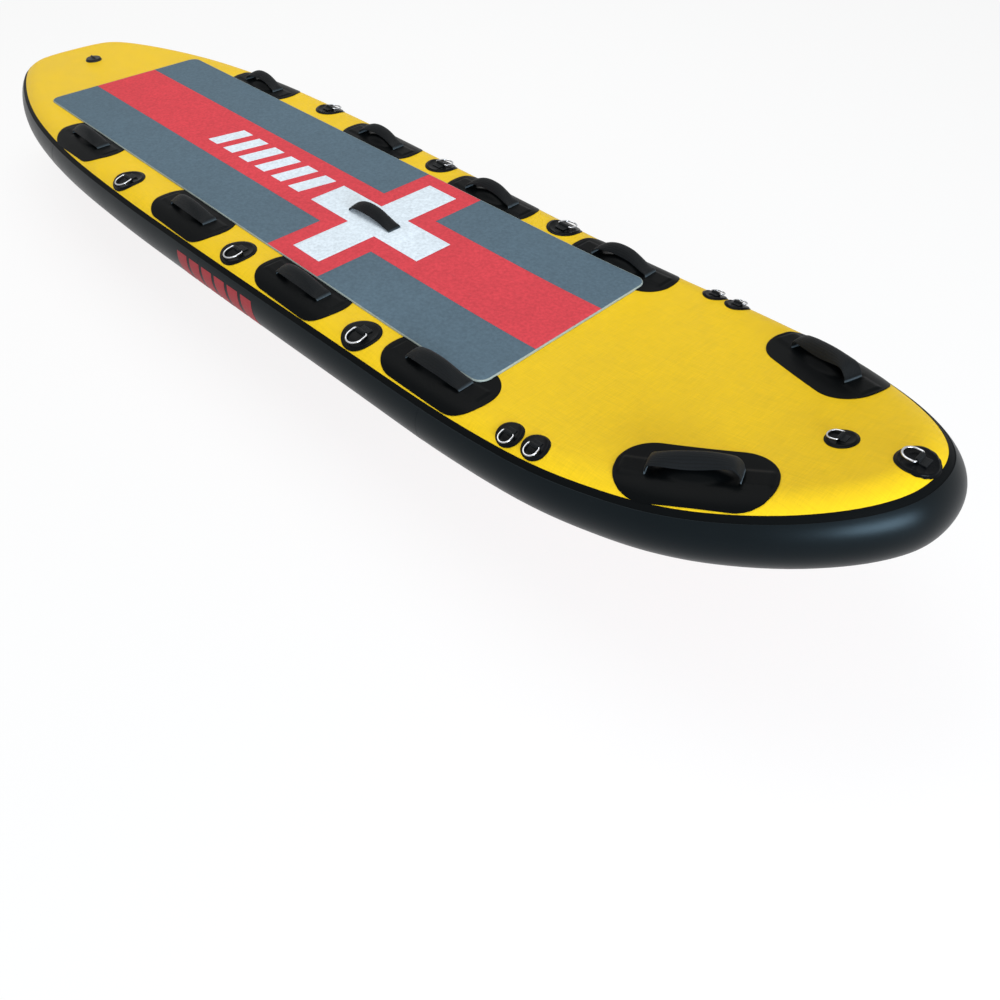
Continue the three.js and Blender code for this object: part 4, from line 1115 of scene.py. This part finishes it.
def build_valve():
    body = [(12.9, 3.2), (12.9, -32), (9, -32), (9, -35), (13, -35), (13, -40), (17, -40), (17, 0.3),
            (27.6, 0.3), (28, 0.8), (27.8, 2.2), (27.0, 3.3), (25.6, 3.8), (22.6, 3.8), (22.1, 3.3),
            (20.9, 3.3), (20.4, 3.8), (13.6, 3.8), (12.9, 3.2)]
    plunger = [(0, -22.5), (3.6, -22.4), (5.2, -22.1), (6, -22.8), (6, -24.6), (5.6, -25), (3, -25), (3, -35.3),
               (11, -35.3), (11.5, -35.8), (11.5, -37.3), (11, -37.8), (0, -37.8)]
    cap = [(0, 1.1), (12.1, 1.1), (12.7, 1.7), (12.7, 4.1), (24.5, 4.1), (25, 4.6), (25, 8.0), (24.4, 8.8),
           (23.2, 9.1), (20.6, 9.1), (20.0, 8.6), (15.4, 8.4), (14.8, 8.9), (14, 9.1), (0, 9.1)]
    for name, node, body_name, profile, material, slot, steps, ridges in (
        ("valve_ring", "valve_body", "board", body, valve_black, "valve_moulding", 72, math.inf),
        ("valve_button", "valve_plunger", "valve_plunger", plunger, valve_red, "valve_button", 48, math.inf),
        ("valve_lid", "valve_cap", "valve_cap", cap, valve_black, "valve_moulding", 144, 24.2),
    ):
        bm = turned(profile, VALVE_X, DECK, steps, ridges)
        add_piece(name, bm, material, node, body=body_name, sharp=35)
    bm = block((34 * MM, 7 * MM, 8.5 * MM), (VALVE_X, 0, DECK + 11.8 * MM), 1.6 * MM, 4, (0.8, 0.7, 1))
    add_piece("valve_grip", bm, valve_black, body="valve_cap", sharp=40)


# Stage

def backdrop(owner, sink, share, lit, seen):
    """Floor or sky: one shader for the light that falls on the board, and a share of another for what
    the camera, a gloss or clear parts show of it."""
    owner.use_nodes = True
    owner.node_tree.nodes.clear()
    w = Wiring(owner.node_tree)
    rays = w.node("LightPath").outputs
    direct = w.math("MAXIMUM", w.math("MAXIMUM", rays["Is Camera Ray"], rays["Is Glossy Ray"]),
                    rays["Is Transmission Ray"])
    blend = w.fed("MixShader", w.times(direct, share), w.fed(*lit), w.fed(*seen))
    w.put(w.node(sink).inputs[0], blend)


def build_stage():
    bm = bmesh.new()
    bmesh.ops.create_grid(bm, x_segments=1, y_segments=1, size=30)
    floor = mesh_object("floor", bm)
    white = bpy.data.materials.new("floor_white")
    backdrop(white, "OutputMaterial", 0.85, ("BsdfDiffuse", (0.9, 0.9, 0.9, 1)),
             ("Emission", (1, 1, 1, 1), 1.0))
    floor.data.materials.append(white)

    world = bpy.data.worlds.new("studio")
    bpy.context.scene.world = world
    backdrop(world, "OutputWorld", 1.0, ("Background", (0.96, 0.98, 1.0, 1), 0.42),
             ("Background", (1, 1, 1, 1), 1.0))

    for name, place, aim, size, power, color in (
        ("key_light", (4.2, -1.35, 1.42), (1.65, -0.1, 0.45), (2.4, 1.0), 145, (0.8, 0.9, 1.0)),
        ("top_light", (-1.0, 0.2, 4.4), (-0.2, 0.0, 0.35), (3.6, 3.6), 112, (1.0, 0.99, 0.97)),
    ):
        lamp = bpy.data.lights.new(name, "AREA")
        lamp.shape, (lamp.size, lamp.size_y) = "RECTANGLE", size
        lamp.energy, lamp.color = power, color
        holder = placed_object(name, lamp)
        holder.location = place
        holder.rotation_euler = (Vector(aim) - Vector(place)).to_track_quat("-Z", "Y").to_euler()


def build_camera():
    """The photograph's camera, its turn given as an axis times an angle."""
    camera = bpy.data.cameras.new("camera")
    camera.sensor_width = SENSOR_MM
    camera.lens = FOCAL_PIXELS / FRAME_PIXELS * SENSOR_MM
    middle = FRAME_PIXELS / 2
    camera.shift_x = (middle - CENTRE_PIXEL[0]) / FRAME_PIXELS
    camera.shift_y = (CENTRE_PIXEL[1] - middle) / FRAME_PIXELS
    camera.clip_start, camera.clip_end = 0.05, 100
    holder = placed_object("camera", camera)
    turn = Vector(CAMERA_TURN)
    seen = Matrix.Rotation(turn.length, 3, turn.normalized())
    flip = Matrix(((1, 0, 0), (0, -1, 0), (0, 0, -1)))
    holder.matrix_world = Matrix.Translation(CAMERA_PLACE) @ (flip @ seen).transposed().to_4x4()
    bpy.context.scene.camera = holder
    bpy.context.scene.view_settings.view_transform = "Standard"


build_camera()
build_stage()
build_hull()
build_rail_details()
build_pad()
build_marks()
build_handles()
build_rings()
build_fin_box()
build_fin()
build_valve()
